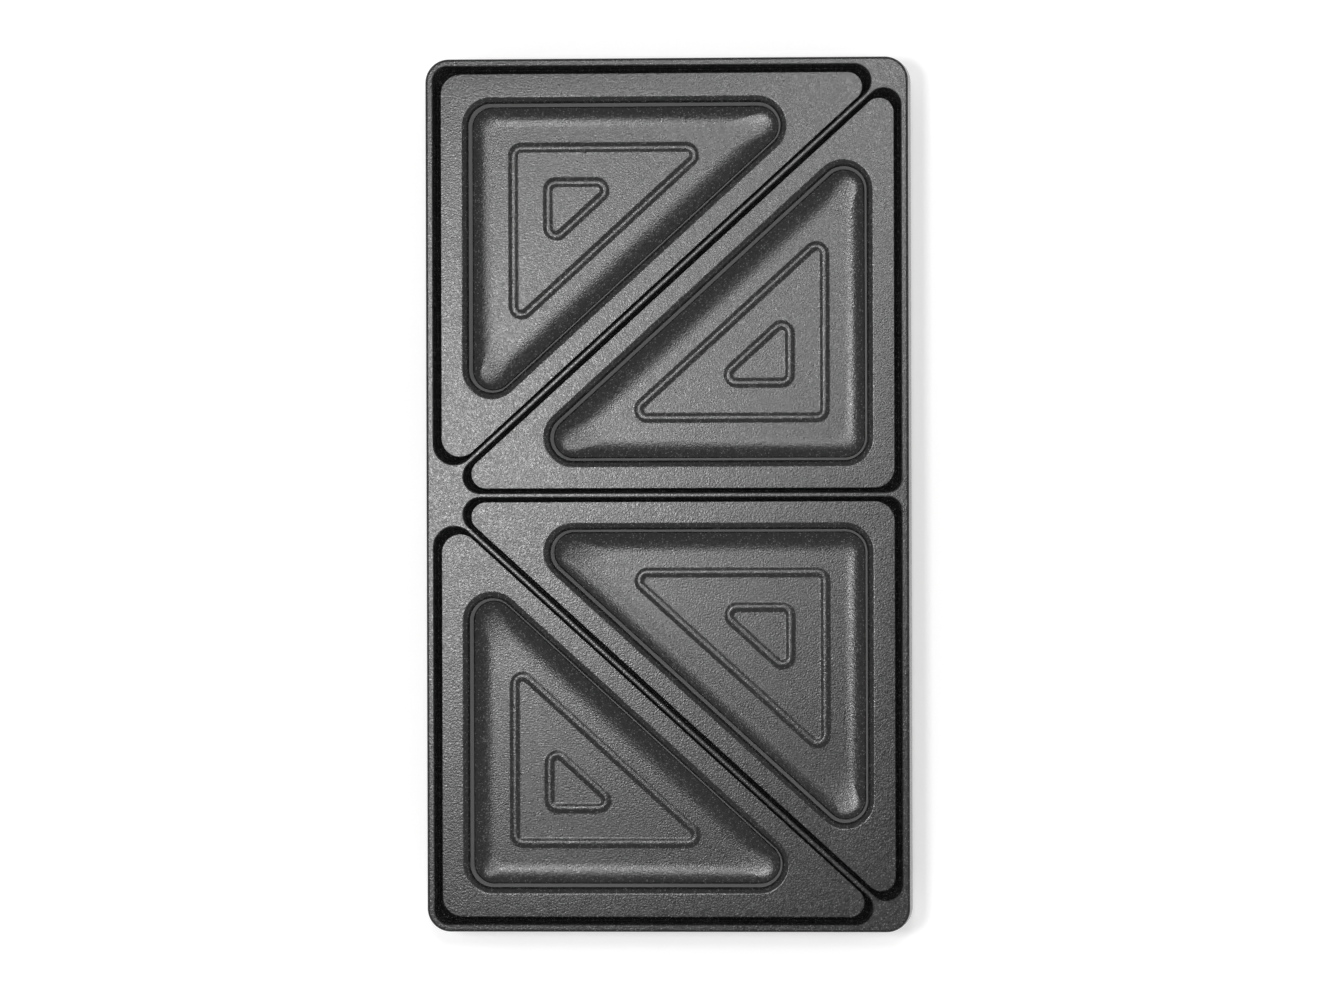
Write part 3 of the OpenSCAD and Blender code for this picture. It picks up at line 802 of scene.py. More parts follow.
class Surface(Graph):
    """A material's tree, with a Principled shader and Object coordinates in metres."""

    def __init__(self, tree: bpy.types.NodeTree) -> None:
        """Adds the shader, the output and the coordinates.

        Args:
            tree: The material's tree.
        """
        super().__init__(tree)
        tree.nodes.clear()
        self.shader = self.add("ShaderNodeBsdfPrincipled", {})
        tree.links.new(self.shader.outputs[0], self.add("ShaderNodeOutputMaterial", {}).inputs[0])
        self.place = self.node("ShaderNodeTexCoord", {}, out="Object")

    def set(self, **values: Value) -> None:
        """Feeds the shader's sockets, by name with underscores for spaces."""
        for name, value in values.items():
            self.feed(self.shader.inputs[name.replace("_", " ")], value)

    def noise(self, per_m: float, detail: float = 2.0, place: Port | None = None) -> Port:
        """Noise with a number of grains to the metre."""
        return self.node("ShaderNodeTexNoise", {}, place or self.place, Scale=per_m, Detail=detail)

    def bump(self, height: Value, depth: float) -> Port:
        """The normal of a surface that is raised by a height from 0 to 1, times a depth in metres."""
        return self.node("ShaderNodeBump", {}, Height=height, Distance=depth, Strength=1.0)


class Finish:
    """A material made of nodes."""

    name: str
    slot: Slot

    def material(self) -> bpy.types.Material:
        """Makes the material, the first time that it is asked for.

        Returns:
            The material.
        """
        made = bpy.data.materials.get(self.name)
        if not made:
            made = bpy.data.materials.new(self.name)
            made.use_nodes = True
            self.paint(Surface(made.node_tree))
        return made

    def paint(self, surface: Surface) -> None:
        """Adds the finish's own nodes.

        Args:
            surface: The material's tree.
        """
        raise NotImplementedError


@dataclass(frozen=True)
class NonStickCoat(Finish):
    """A dark, half-gloss sprayed coat with fine bright flecks and a faint orange peel."""

    name: str = "non_stick_coat"
    slot: Slot = Slot.COATED_ALUMINIUM
    dark: Colour = (0.004, 0.004, 0.0041, 1.0)
    light: Colour = (0.018, 0.018, 0.0184, 1.0)
    fleck: Colour = (0.13, 0.13, 0.1325, 1.0)
    flecks_per_m: float = 2300.0
    bare_share: float = 0.52
    fleck_edge: Point = (0.15, 0.5)
    clouds_per_m: float = 40.0
    grains_per_m: float = 2200.0
    grain_depth: float = 0.00004
    roughness: float = 0.21
    gloss: float = 0.25

    def paint(self, surface: Surface) -> None:
        """Adds the coat's own nodes.

        Args:
            surface: The material's tree.
        """
        shades, distance = surface.outputs(
            "ShaderNodeTexVoronoi", ("Color", "Distance"), surface.place, Scale=self.flecks_per_m)
        chance, shade = surface.outputs("ShaderNodeSeparateColor", ("Red", "Green"), shades)
        flecks = (chance > self.bare_share) * (1 - surface.ramp(distance, self.fleck_edge))
        cloud = surface.noise(self.clouds_per_m, 3.0)
        base = surface.mix(shade * 0.6 + cloud * 0.4, self.dark, self.light)
        surface.set(
            Base_Color=surface.mix(flecks * shade, base, self.fleck),
            Roughness=self.roughness + (cloud - 0.5) * 0.02 + (shade - 0.5) * 0.11 - flecks * 0.03,
            Specular_IOR_Level=self.gloss,
            Normal=surface.bump(surface.noise(self.grains_per_m), self.grain_depth))


@dataclass(frozen=True)
class BareCasting(Finish):
    """The as-cast underside: dull aluminium with a fine skin and drifts of overspray."""

    name: str = "bare_casting"
    slot: Slot = Slot.COATED_ALUMINIUM
    metal: Colour = (0.52, 0.52, 0.53, 1.0)
    stain: Colour = (0.30, 0.29, 0.285, 1.0)
    drifts_per_m: float = 22.0
    drift_edge: Point = (0.35, 0.75)
    grains_per_m: float = 900.0
    grain_depth: float = 0.00006
    roughness: float = 0.5
    metallic: float = 0.85

    def paint(self, surface: Surface) -> None:
        """Adds the casting's own nodes.

        Args:
            surface: The material's tree.
        """
        drift = surface.ramp(surface.noise(self.drifts_per_m, 4.0), self.drift_edge)
        skin = surface.noise(self.grains_per_m, 3.0)
        surface.set(
            Base_Color=surface.mix(drift * 0.7 + skin * 0.3, self.metal, self.stain),
            Roughness=self.roughness + drift * 0.12 + (skin - 0.5) * 0.1,
            Metallic=self.metallic,
            Normal=surface.bump(skin, self.grain_depth))


@dataclass(frozen=True)
class Metal(Finish):
    """A plated, rolled or drawn metal with a directional grain, dull patches and fingermarks."""

    name: str
    slot: Slot
    bright: Colour
    dull: Colour
    roughness: float
    stretch: Place = (60.0, 1.0, 1.0)
    lines_per_m: float = 700.0
    line_depth: float = 0.000004
    patches_per_m: float = 120.0
    patch_edge: Point = (0.4, 0.8)

    def paint(self, surface: Surface) -> None:
        """Adds the metal's own nodes.

        Args:
            surface: The material's tree.
        """
        drawn = surface.node("ShaderNodeMapping", {}, surface.place, Scale=self.stretch)
        lines = surface.noise(self.lines_per_m / max(self.stretch), 3.0, drawn)
        patches = surface.ramp(surface.noise(self.patches_per_m, 3.0), self.patch_edge)
        surface.set(
            Base_Color=surface.mix(patches * 0.8 + lines * 0.2, self.bright, self.dull),
            Roughness=self.roughness + patches * 0.16 + (lines - 0.5) * 0.14,
            Metallic=1.0,
            Normal=surface.bump(lines, self.line_depth))


@dataclass(frozen=True)
class Ceramic(Finish):
    """Unglazed, fine-grained ceramic, slightly warm, with pores."""

    name: str = "steatite"
    slot: Slot = Slot.CERAMIC
    body: Colour = (0.74, 0.70, 0.62, 1.0)
    shade: Colour = (0.60, 0.55, 0.47, 1.0)
    clouds_per_m: float = 260.0
    pores_per_m: float = 2600.0
    pore_edge: Point = (0.62, 0.72)
    pore_depth: float = 0.00003
    roughness: float = 0.55

    def paint(self, surface: Surface) -> None:
        """Adds the ceramic's own nodes.

        Args:
            surface: The material's tree.
        """
        cloud = surface.noise(self.clouds_per_m, 3.0)
        pores = surface.ramp(surface.noise(self.pores_per_m, 1.0), self.pore_edge)
        surface.set(
            Base_Color=surface.mix(cloud * 0.7 + pores * 0.3, self.body, self.shade),
            Roughness=self.roughness + pores * 0.2,
            Normal=surface.bump(1 - pores, self.pore_depth))


@dataclass(frozen=True)
class GlassYarn(Finish):
    """Off-white glass yarn with a silky sheen."""

    name: str = "glass_yarn"
    slot: Slot = Slot.GLASS_FIBRE
    pale: Colour = (0.80, 0.78, 0.70, 1.0)
    deep: Colour = (0.52, 0.48, 0.38, 1.0)
    threads_per_m: float = 3200.0
    thread_depth: float = 0.00002
    soil_per_m: float = 150.0
    soil_edge: Point = (0.5, 0.85)
    roughness: float = 0.62
    sheen: float = 0.3

    def paint(self, surface: Surface) -> None:
        """Adds the yarn's own nodes.

        Args:
            surface: The material's tree.
        """
        threads = surface.noise(self.threads_per_m)
        soil = surface.ramp(surface.noise(self.soil_per_m), self.soil_edge)
        surface.set(
            Base_Color=surface.mix(threads * 0.4 + soil * 0.5, self.pale, self.deep),
            Roughness=self.roughness + threads * 0.2,
            Sheen_Weight=self.sheen,
            Normal=surface.bump(threads, self.thread_depth))


COAT = NonStickCoat()
CASTING = BareCasting()
CERAMIC = Ceramic()
YARN = GlassYarn()
TUBE_STEEL = Metal(
    "heater_steel", Slot.TUBE_STEEL, (0.34, 0.32, 0.29, 1.0), (0.15, 0.13, 0.12, 1.0), 0.42,
    (1.0, 1.0, 1.0), 500.0)
ZINC = Metal("zinc_plate", Slot.ZINC_STEEL, (0.62, 0.63, 0.64, 1.0), (0.44, 0.44, 0.43, 1.0), 0.30)
BIMETAL = Metal("rolled_bimetal", Slot.BIMETAL, (0.50, 0.47, 0.42, 1.0), (0.36, 0.33, 0.29, 1.0), 0.34)
BRONZE = Metal("spring_bronze", Slot.SPRING_BRONZE, (0.62, 0.40, 0.22, 1.0), (0.42, 0.26, 0.15, 1.0), 0.30)
BRASS = Metal("bare_brass", Slot.BRASS, (0.70, 0.52, 0.23, 1.0), (0.50, 0.36, 0.17, 1.0), 0.28)
TINNED = Metal(
    "tinned_brass", Slot.TINNED, (0.66, 0.64, 0.58, 1.0), (0.52, 0.49, 0.42, 1.0), 0.36, (1.0, 60.0, 1.0))
SILVER = Metal("contact_silver", Slot.SILVER, (0.80, 0.79, 0.76, 1.0), (0.62, 0.60, 0.56, 1.0), 0.26)
FUSE_CAN = Metal("lacquered_can", Slot.FUSE_CASE, (0.62, 0.56, 0.42, 1.0), (0.46, 0.41, 0.31, 1.0), 0.30)

Made = tuple[Piece, str, Finish]


def softened(node: str, name: str, edge: float, finish: Finish) -> Made:
    """A copy of a CAD node with its edges rounded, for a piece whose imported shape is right.

    Args:
        node: The CAD node.
        name: The new piece's name.
        edge: The rounding.
        finish: What it is made of.

    Returns:
        The new piece, its node and its finish.
    """
    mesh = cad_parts[node].data.copy()
    mesh.materials.clear()
    mesh.materials.append(finish.material())
    with edited(mesh) as work:
        bmesh.ops.remove_doubles(work, verts=work.verts, dist=MERGE)
        bmesh.ops.dissolve_limit(work, angle_limit=FLAT_ANGLE, verts=work.verts, edges=work.edges)
        for face in work.faces:
            face.material_index = 0
    piece = linked(name, mesh)
    bevel = piece.modifiers.new("edges", "BEVEL")
    bevel.width = edge * MM
    bevel.segments = 2
    bevel.limit_method = "ANGLE"
    bevel.angle_limit = EDGE_ANGLE
    return smoothed(baked(piece, name)), node, finish


@dataclass(frozen=True)
class Stem:
    """A round post or boss under the deck, with a rounded foot, draft and a fillet at its root."""

    radius: float
    low: float
    turn: float
    draft: float
    blend: float
    steps: int

    def build(self, plate: "PlateCasting", name: str, at: Point) -> Piece:
        """Makes the stem.

        Args:
            plate: What it hangs from.
            name: The solid's name.
            at: Its axis.

        Returns:
            The solid.
        """
        side, blend, deck = self.radius + self.draft, self.blend, plate.deck_z
        profile = foot_edge(self.radius, self.low, self.turn, self.steps)
        profile += [(side + blend * c, deck - blend * (1 - s)) for c, s in quarter(self.steps)]
        return plate.shop.turned(name, [*profile, (side + blend, plate.root_z)], CASTING, at)


@dataclass
class PlateCasting:
    """The cast plate, rebuilt with its draft, fillets and soft ribs."""

    shop: Workshop
    width: float = 130.0
    length: float = 235.0
    rim_z: float = 26.0
    corner_r: float = 6.3
    rim_w: float = 2.05
    rim_round: float = 0.7
    skirt_z: float = 16.0
    skirt_lean: float = math.tan(math.radians(3.0))
    skirt_t: float = 2.6
    foot_round: float = 0.5
    ridge_w: float = 1.3
    slant_w: float = 1.2
    groove_w: float = 1.65
    groove_in: float = 0.95
    groove_thin: float = 0.5
    groove_slant: float = 0.75
    land_z: float = 23.5
    groove_z: float = 21.7
    deck_z: float = 19.3
    deck_round: float = 0.8
    cell_r: float = 3.8
    cell_tip_r: float = 4.5
    cell_mid_r: float = 5.5
    land_r: float = 5.7
    land_mid_r: float = 5.2
    land_tip_r: float = 4.2
    land_side_w: float = 5.8
    land_end_w: float = 6.3
    land_mid_w: float = 5.9
    land_slant_w: float = 4.65
    pocket_depth: float = 7.6
    floor_round: float = 0.4
    mouth_round: float = 1.2
    wall_t: float = 2.8
    outer_rib_in: float = 13.4
    rib_pitch: float = 9.4
    rib_corner_r: float = 2.2
    rib_h: float = 0.20
    rib_foot: float = 1.55
    rib_top: float = 0.15
    rib_steps: int = 8
    lip_r: float = 2.0
    lip_out: float = 0.15
    lip_steps: int = 10
    wall_lean: float = 82.0
    toe_r: float = 0.9
    toe_steps: int = 6
    dish_lean: float = 18.0
    dish_bend: float = 2.4
    dish_in: float = 8.3
    dish_steps: int = 10
    slant_more: float = 1.4
    edge: float = 0.35
    root: float = 0.1
    skim: float = 0.003
    over: float = 1.0
    tube_r: float = 3.3
    tube_fit: float = 0.1
    tube_z: float = 10.3
    bed_z: float = 9.1
    bed_w: float = 12.0
    bed_end: float = 88.0
    bed_round: float = 1.1
    channel_end: float = 97.0
    post_in: float = 8.0
    post_shape: Stem = Stem(4.5, 0.0, turn=0.4, draft=0.35, blend=1.2, steps=4)
    post_hole_r: float = 1.65
    post_hole_l: float = 14.0
    web_t: float = 2.5
    web_z: float = 16.3
    web_corner: float = 0.3
    web_draft: float = 0.2
    sink: float = 0.3
    cone: Point = (0.15, 0.35)
    coat_in: float = 1.6
    coat_below_floor: float = 0.3
    coat_above_deck: float = 0.7
    upright: float = 0.15
    pad_round: float = 0.35
    pad_round_share: float = 0.8
    crease: float = 32.0

    @property
    def floor_z(self) -> float:
        """Height of a pocket's floor."""
        return self.land_z - self.pocket_depth

    @property
    def root_z(self) -> float:
        """How high what hangs from the deck reaches into it."""
        return self.deck_z + self.over / 2

    @property
    def foot_out(self) -> float:
        """How far the skirt's foot stands out past the rim."""
        return self.skirt_lean * (self.rim_z - self.rim_round - self.skirt_z)

    @property
    def footprint(self) -> Outline:
        """The plate's outline at its rim."""
        x, y = self.width / 2, self.length / 2
        return Outline.rectangle((-x, x), (-y, y), self.corner_r)

    def cell_outlines(self) -> tuple[Outline, Outline]:
        """The two cells of the upper square, at the rim.

        Returns:
            The outer and the inner cell.
        """
        x = self.width / 2 - self.rim_w
        y = self.length / 2 - self.rim_w
        low, insets = self.ridge_w / 2, (0.0, self.slant_w / 2, 0.0)
        outer = Outline.polygon(((-x, y), (-x, low), (x, y)), (1.0,) * 3)
        inner = Outline.polygon(((x, low), (x, y), (-x, low)), (1.0,) * 3)
        return (
            outer.inset(insets, (self.cell_r, self.cell_mid_r, self.cell_tip_r)),
            inner.inset(insets, (self.cell_r, self.cell_tip_r, self.cell_tip_r)),
        )

    def groove_rings(self, cell: Outline, root: Outline, land: Outline) -> list[Ring]:
        """From above the rim, down its edge, through the sharp groove and up to the land.

        Args:
            cell: The cell's outline at the rim.
            root: The line of the groove's bottom.
            land: The land's outline.

        Returns:
            The rings, in order.
        """
        edge, turn = self.edge, self.root
        down = [Ring(cell, edge * s - edge, self.rim_z - self.skim - edge * c) for c, s in quarter(4)]
        foot = [Ring(root, side * turn, self.groove_z + turn * abs(side)) for side in (-1, 0, 1)]
        brow = [Ring(land, edge * c, self.land_z + edge * (s - 1)) for c, s in quarter(4)]
        return [Ring(cell, -edge, self.rim_z + self.over), *down, *foot, *brow]

    def pocket_rings(self, mouth: Outline) -> list[Ring]:
        """From the land over the pocket's lip, down its wall and across its dished floor.

        Args:
            mouth: The pocket's outline.

        Returns:
            The rings, in order.
        """
        steep, shallow = math.radians(self.wall_lean), math.radians(self.dish_lean)
        lip, toe, bend = self.lip_r, self.toe_r, self.dish_bend
        fall = lip * (1 - math.cos(steep)) + toe * (math.cos(shallow) - math.cos(steep))
        run = self.dish_in + self.lip_out - lip * math.sin(steep)
        run -= toe * (math.sin(steep) - math.sin(shallow))
        slope = math.tan(shallow) / bend
        wall = (self.pocket_depth - fall - run * slope) / (math.tan(steep) - slope)
        angles = [steep * i / self.lip_steps for i in range(self.lip_steps + 1)]
        points = [(lip * math.sin(a), lip * (1 - math.cos(a))) for a in angles]
        x, z = points[-1][0] + wall, points[-1][1] + wall * math.tan(steep)
        angles = [steep + (shallow - steep) * i / self.toe_steps for i in range(self.toe_steps + 1)]
        points += [
            (x + toe * (math.sin(steep) - math.sin(a)), z + toe * (math.cos(a) - math.cos(steep)))
            for a in angles
        ]
        x, z = points[-1]
        dish = run - wall
        shares = [i / self.dish_steps for i in range(1, self.dish_steps + 1)]
        points += [(x + dish * share, z + dish * slope * (1 - (1 - share) ** bend)) for share in shares]
        rings = []
        for reach, drop in points:
            inset = reach - self.lip_out
            radius = max(self.pocket_depth + self.floor_round - inset, self.rib_corner_r + self.rib_foot)
            far = inset + self.slant_more * max(0.0, (reach - x) / dish)
            rings.append(Ring(mouth.inset((inset, far, inset), (radius,) * 3), 0.0, self.land_z - drop))
        return rings

    def rib_rings(self, line: Outline) -> list[Ring]:
        """Over one raised rib, from its outer foot to its inner one.

        Args:
            line: The rib's centre line.

        Returns:
            The rings, in order.
        """
        rise = [i / self.rib_steps for i in range(self.rib_steps + 1)]
        rings = []
        for side, shares in ((-1, rise), (1, [1 - share for share in rise])):
            for share in shares:
                reach = self.rib_foot + (self.rib_top - self.rib_foot) * share
                height = self.rib_h * share * share * (3 - 2 * share)
                rings.append(Ring(line, side * reach, self.floor_z + height))
        return rings

    def hollow(self, name: str, cell: Outline, grooves: Sequence[float], radii: Sequence[float],
               lands: Sequence[float]) -> tuple[Piece, Outline]:
        """All that is taken out of the plate's top in one cell.

        Args:
            name: The solid's name.
            cell: The cell's outline at the rim.
            grooves: The groove's width along each side.
            radii: The rounding of the land's corners.
            lands: The land's width along each side.

        Returns:
            The solid and the pocket's outline.
        """
        land = cell.inset(grooves, radii)
        root = cell.inset([width / 2 for width in grooves], [(a + b) / 2 for a, b in zip(cell.radii, radii)])
        mouth = land.inset(lands, (self.pocket_depth + self.floor_round,) * 3)
        rings = self.groove_rings(cell, root, land) + self.pocket_rings(mouth)
        for place in (self.outer_rib_in, self.outer_rib_in + self.rib_pitch):
            rings += self.rib_rings(mouth.inset((place,) * 3, (self.rib_corner_r,) * 3))
        return self.shop.rings(name, rings, COAT, 26), mouth

    def belly(self, name: str, mouth: Outline) -> Piece:
        """The metal under one pocket.

        Args:
            name: The solid's name.
            mouth: The pocket's outline.

        Returns:
            The solid.
        """
        bowl_z = self.land_z - self.mouth_round
        reach = self.pocket_depth - self.mouth_round + self.wall_t
        top, steps = math.asin((bowl_z - self.deck_z - self.over) / reach), 12
        angles = [math.pi / 2 + (top - math.pi / 2) * i / steps for i in range(steps + 1)]
        profile = [(reach * math.cos(a) - self.pocket_depth, bowl_z - reach * math.sin(a)) for a in angles]
        return self.shop.extruded(name, mouth, profile, CASTING, steps)

    def shell(self) -> Piece:
        """The plate's block, with its leaning skirt and rounded rim.

        Returns:
            The solid.
        """
        profile = foot_edge(self.foot_out, self.skirt_z, self.foot_round)
        profile += top_edge(0.0, self.rim_z, self.rim_round, 5)
        return self.shop.extruded("plate_casting", self.footprint, profile, COAT, 14)

    def cavity(self) -> Piece:
        """The hollow inside the skirt, under the deck.

        Returns:
            The solid that is cut away.
        """
        foot, turn = self.foot_out - self.skirt_t, self.foot_round
        profile = [(foot + turn, self.skirt_z - self.over)]
        profile += [(foot + turn * (1 - s), self.skirt_z + turn * c) for c, s in quarter(3)]
        profile += top_edge(foot - self.skirt_lean, self.deck_z, self.deck_round)
        return self.shop.extruded("cavity", self.footprint, profile, CASTING, 14)

    def block(self, name: str, x: Point, y: Point, low: float, corner: float, draft: float) -> Piece:
        """A cast pad or web that hangs from the deck, with draft and a rounded lower edge.

        Args:
            name: The solid's name.
            x: Its span in x, at its foot.
            y: Its span in y, at its foot.
            low: The height of its foot.
            corner: The rounding of its corners.
            draft: How much wider each side is at the deck.

        Returns:
            The solid.
        """
        turn = min(self.pad_round, corner * self.pad_round_share)
        profile = foot_edge(0.0, low, turn, 3)
        return self.shop.extruded(
            name, Outline.rectangle(x, y, corner), [*profile, (draft, self.root_z)], CASTING, 6)

    def bore(self, name: str, at: Point, low: float, radius: float, depth: float) -> tuple[Solid, Piece]:
        """Drills a hole with a small countersink and a conical end.

        Args:
            name: The solid's name.
            at: Its axis.
            low: The height of its mouth.
            radius: Its radius.
            depth: Its depth to the start of the cone.

        Returns:
            The step that cuts it.
        """
        wide, (tip, rise) = radius + self.sink, self.cone
        profile = [
            (wide + self.over, low - self.over), (wide, low), (radius, low + self.sink),
            (radius, low + depth), (radius * tip, low + depth + radius * rise),
        ]
        return Solid.CUT, self.shop.turned(name, profile, CASTING, at, 7)

    def build(self, tube: "HeatingTube", seats: "Seats") -> list[Made]:
        """Makes the whole casting.

        Args:
            tube: The heating tube, for the route of its bed.
            seats: The pads and screw holes of the small parts.

        Returns:
            The casting with the node that it stands for and its finish.
        """
        outer, inner = self.cell_outlines()
        wide, thin, slit, slot = self.groove_w, self.groove_in, self.groove_thin, self.groove_slant
        outer_cut, outer_mouth = self.hollow(
            "outer_cell", outer, (wide, slit, wide), (self.land_r, self.land_mid_r, self.land_tip_r),
            (self.land_side_w, self.land_slant_w + thin - slit, self.land_end_w))
        inner_cut, inner_mouth = self.hollow(
            "inner_cell", inner, (wide, slot, thin), (self.land_r, self.land_tip_r, self.land_tip_r),
            (self.land_side_w, self.land_slant_w + thin - slot, self.land_mid_w))
        steps = [(Solid.CUT, self.cavity())]
        steps += both(Solid.JOIN, self.belly("outer_belly", outer_mouth))
        steps += both(Solid.JOIN, self.belly("inner_belly", inner_mouth))
        bed_h = self.root_z - self.bed_z
        bed = tube.route(self.bed_end, self.bed_z + bed_h / 2)
        steps.append(
            (Solid.JOIN, self.shop.along("tube_bed", bed, (self.bed_w, bed_h), self.bed_round, CASTING)))
        steps += self.posts()
        steps += [(Solid.JOIN, pad) for pad in seats.pads(self)]
        steps += both(Solid.CUT, outer_cut) + both(Solid.CUT, inner_cut)
        gap = 2 * (self.tube_r + self.tube_fit)
        channel = tube.route(self.channel_end, self.tube_z)
        steps.append((Solid.CUT, self.shop.along("channel", channel, (gap, gap), gap / 2, CASTING, 9)))
        casting = smoothed(combined(self.shell(), steps + seats.holes(self)), self.crease)
        self.dress(casting)
        return [(casting, "cooking_plate", COAT)]

    def posts(self) -> list[tuple[Solid, Piece]]:
        """The four posts with their webs and holes.

        Returns:
            Their steps of the casting.
        """
        joins, cuts = [], []
        x0, y0 = self.width / 2 - self.post_in, self.length / 2 - self.post_in
        reach, half = self.post_in - self.skirt_t / 2, self.web_t / 2
        for sx in (-1, 1):
            for sy in (-1, 1):
                x, y = sx * x0, sy * y0
                span_x, span_y = sorted((x, x + sx * reach)), sorted((y, y + sy * reach))
                joins.append(self.post_shape.build(self, "post", (x, y)))
                for spans in ((span_x, (y - half, y + half)), ((x - half, x + half), span_y)):
                    joins.append(self.block("web", *spans, self.web_z, self.web_corner, self.web_draft))
                cuts.append(self.bore("post_hole", (x, y), 0.0, self.post_hole_r, self.post_hole_l))
        return [(Solid.JOIN, part) for part in joins] + cuts

    def dress(self, casting: Piece) -> None:
        """Gives the underside its bare metal and the rest its coat.

        Args:
            casting: The finished casting.
        """
        mesh = casting.data
        mesh.materials.clear()
        for finish in (COAT, CASTING):
            mesh.materials.append(finish.material())
        inner_x = (self.width / 2 - self.coat_in) * MM
        inner_y = (self.length / 2 - self.coat_in) * MM
        below = (self.floor_z - self.coat_below_floor) * MM
        deck = (self.deck_z + self.coat_above_deck) * MM
        for face in mesh.polygons:
            at, up = face.center, face.normal.z
            inside = abs(at.x) < inner_x and abs(at.y) < inner_y
            wall = abs(up) <= self.upright and at.z < deck and inside
            face.material_index = int(at.z < below or up < -self.upright or wall)


@dataclass
class HeatingTube:
    """The bent steel tube with its seals, pins and blades."""

    shop: Workshop
    radius: float = 3.3
    x: float = 34.0
    cross_y: float = 90.0
    end_y: float = 92.0
    bend: float = 22.0
    z: float = 10.3
    seal_r: float = 3.1
    seal_l: float = 4.0
    seal_gap: float = 0.02
    seal_draft: float = 0.25
    seal_round: float = 0.5
    sink: tuple[Point, ...] = ((0.0, -1.0), (0.0, -0.4), (0.5, 0.1))
    plug_r: float = 2.25
    plug_l: float = 8.0
    pin_r: float = 1.3
    pin_l: float = 5.0
    wire_r: float = 1.25
    wire_round: float = 0.3
    flat_in: float = 0.5
    blade_edge: float = 0.16

    def route(self, end: float, z: float, steps: int = 14) -> list[Place]:
        """The tube's centre line.

        Args:
            end: How far each long run goes below the plate's centre.
            z: The height.
            steps: Steps in each bend.

        Returns:
            Its points, from one end to the other.
        """
        x, y = self.x - self.bend, self.cross_y - self.bend
        turn = [math.pi / 2 * i / steps for i in range(steps + 1)]
        right = [(x + self.bend * math.cos(a), y + self.bend * math.sin(a), z) for a in turn]
        left = [(-px, py, z) for px, py, _ in reversed(right)]
        return [(self.x, -end, z), *right, *left, (-self.x, -end, z)]

    def at_ends(self, name: str, piece: Piece, finish: Finish) -> Piece:
        """Puts a form that stands on the z axis in both of the tube's ends, pointing out.

        Args:
            name: The new piece's name.
            piece: The form, which is used up.
            finish: What it is made of.

        Returns:
            One object with both.
        """
        piece.data.transform(Matrix.Rotation(math.pi / 2, 4, "X"))
        spots = [(side * self.x, -self.end_y, self.z, 0.0) for side in (-1, 1)]
        return smoothed(self.shop.placed(name, piece, spots, finish))

    def build(self) -> list[Made]:
        """Makes the tube and what its ends carry.

        Returns:
            Each piece with its node and its finish.
        """
        path, size = self.route(self.end_y, self.z, 24), (2 * self.radius, 2 * self.radius)
        tube = self.shop.along("heater_tube", path, size, self.radius, TUBE_STEEL, 9)
        return [
            (smoothed(tube), "heating_tube", TUBE_STEEL),
            (self.at_ends("seal_collars", self.seal(), CERAMIC), "tube_seals", CERAMIC),
            (self.at_ends("connector_pins", self.pin(), ZINC), "terminal_pins", ZINC),
            softened("terminal_blades", "push_on_blades", self.blade_edge, TINNED),
        ]

    def pin(self) -> Piece:
        """One pin, with a flat that lies against its blade.

        Returns:
            The pin, on the z axis.
        """
        end, wide = self.seal_l + self.pin_l, 2 * self.wire_r
        side = [(self.wire_r, -self.plug_l), *top_edge(self.wire_r, end, self.wire_round)]
        pin = self.shop.turned("pin", side, ZINC)
        outline = Outline.rectangle((-wide, wide), (0.0, wide), 0.1)
        profile = [(0.0, self.seal_l + self.flat_in), (0.0, end + 1)]
        return combined(pin, [(Solid.CUT, self.shop.extruded("flat", outline, profile, ZINC, 2))])

    def seal(self) -> Piece:
        """One ceramic seal, with a lip over the tube's end and a sunk hole for its pin.

        Returns:
            The seal, on the z axis.
        """
        end, turn = self.seal_l, self.seal_round
        profile = [(self.plug_r, -self.plug_l), (self.plug_r, self.seal_gap)]
        profile += foot_edge(self.seal_r, self.seal_gap, turn)
        profile += top_edge(self.seal_r - self.seal_draft, end, turn)
        sink = [(self.pin_r + out, end + up) for out, up in self.sink]
        return self.shop.bored(self.shop.turned("seal", profile, CERAMIC), sink, CERAMIC)


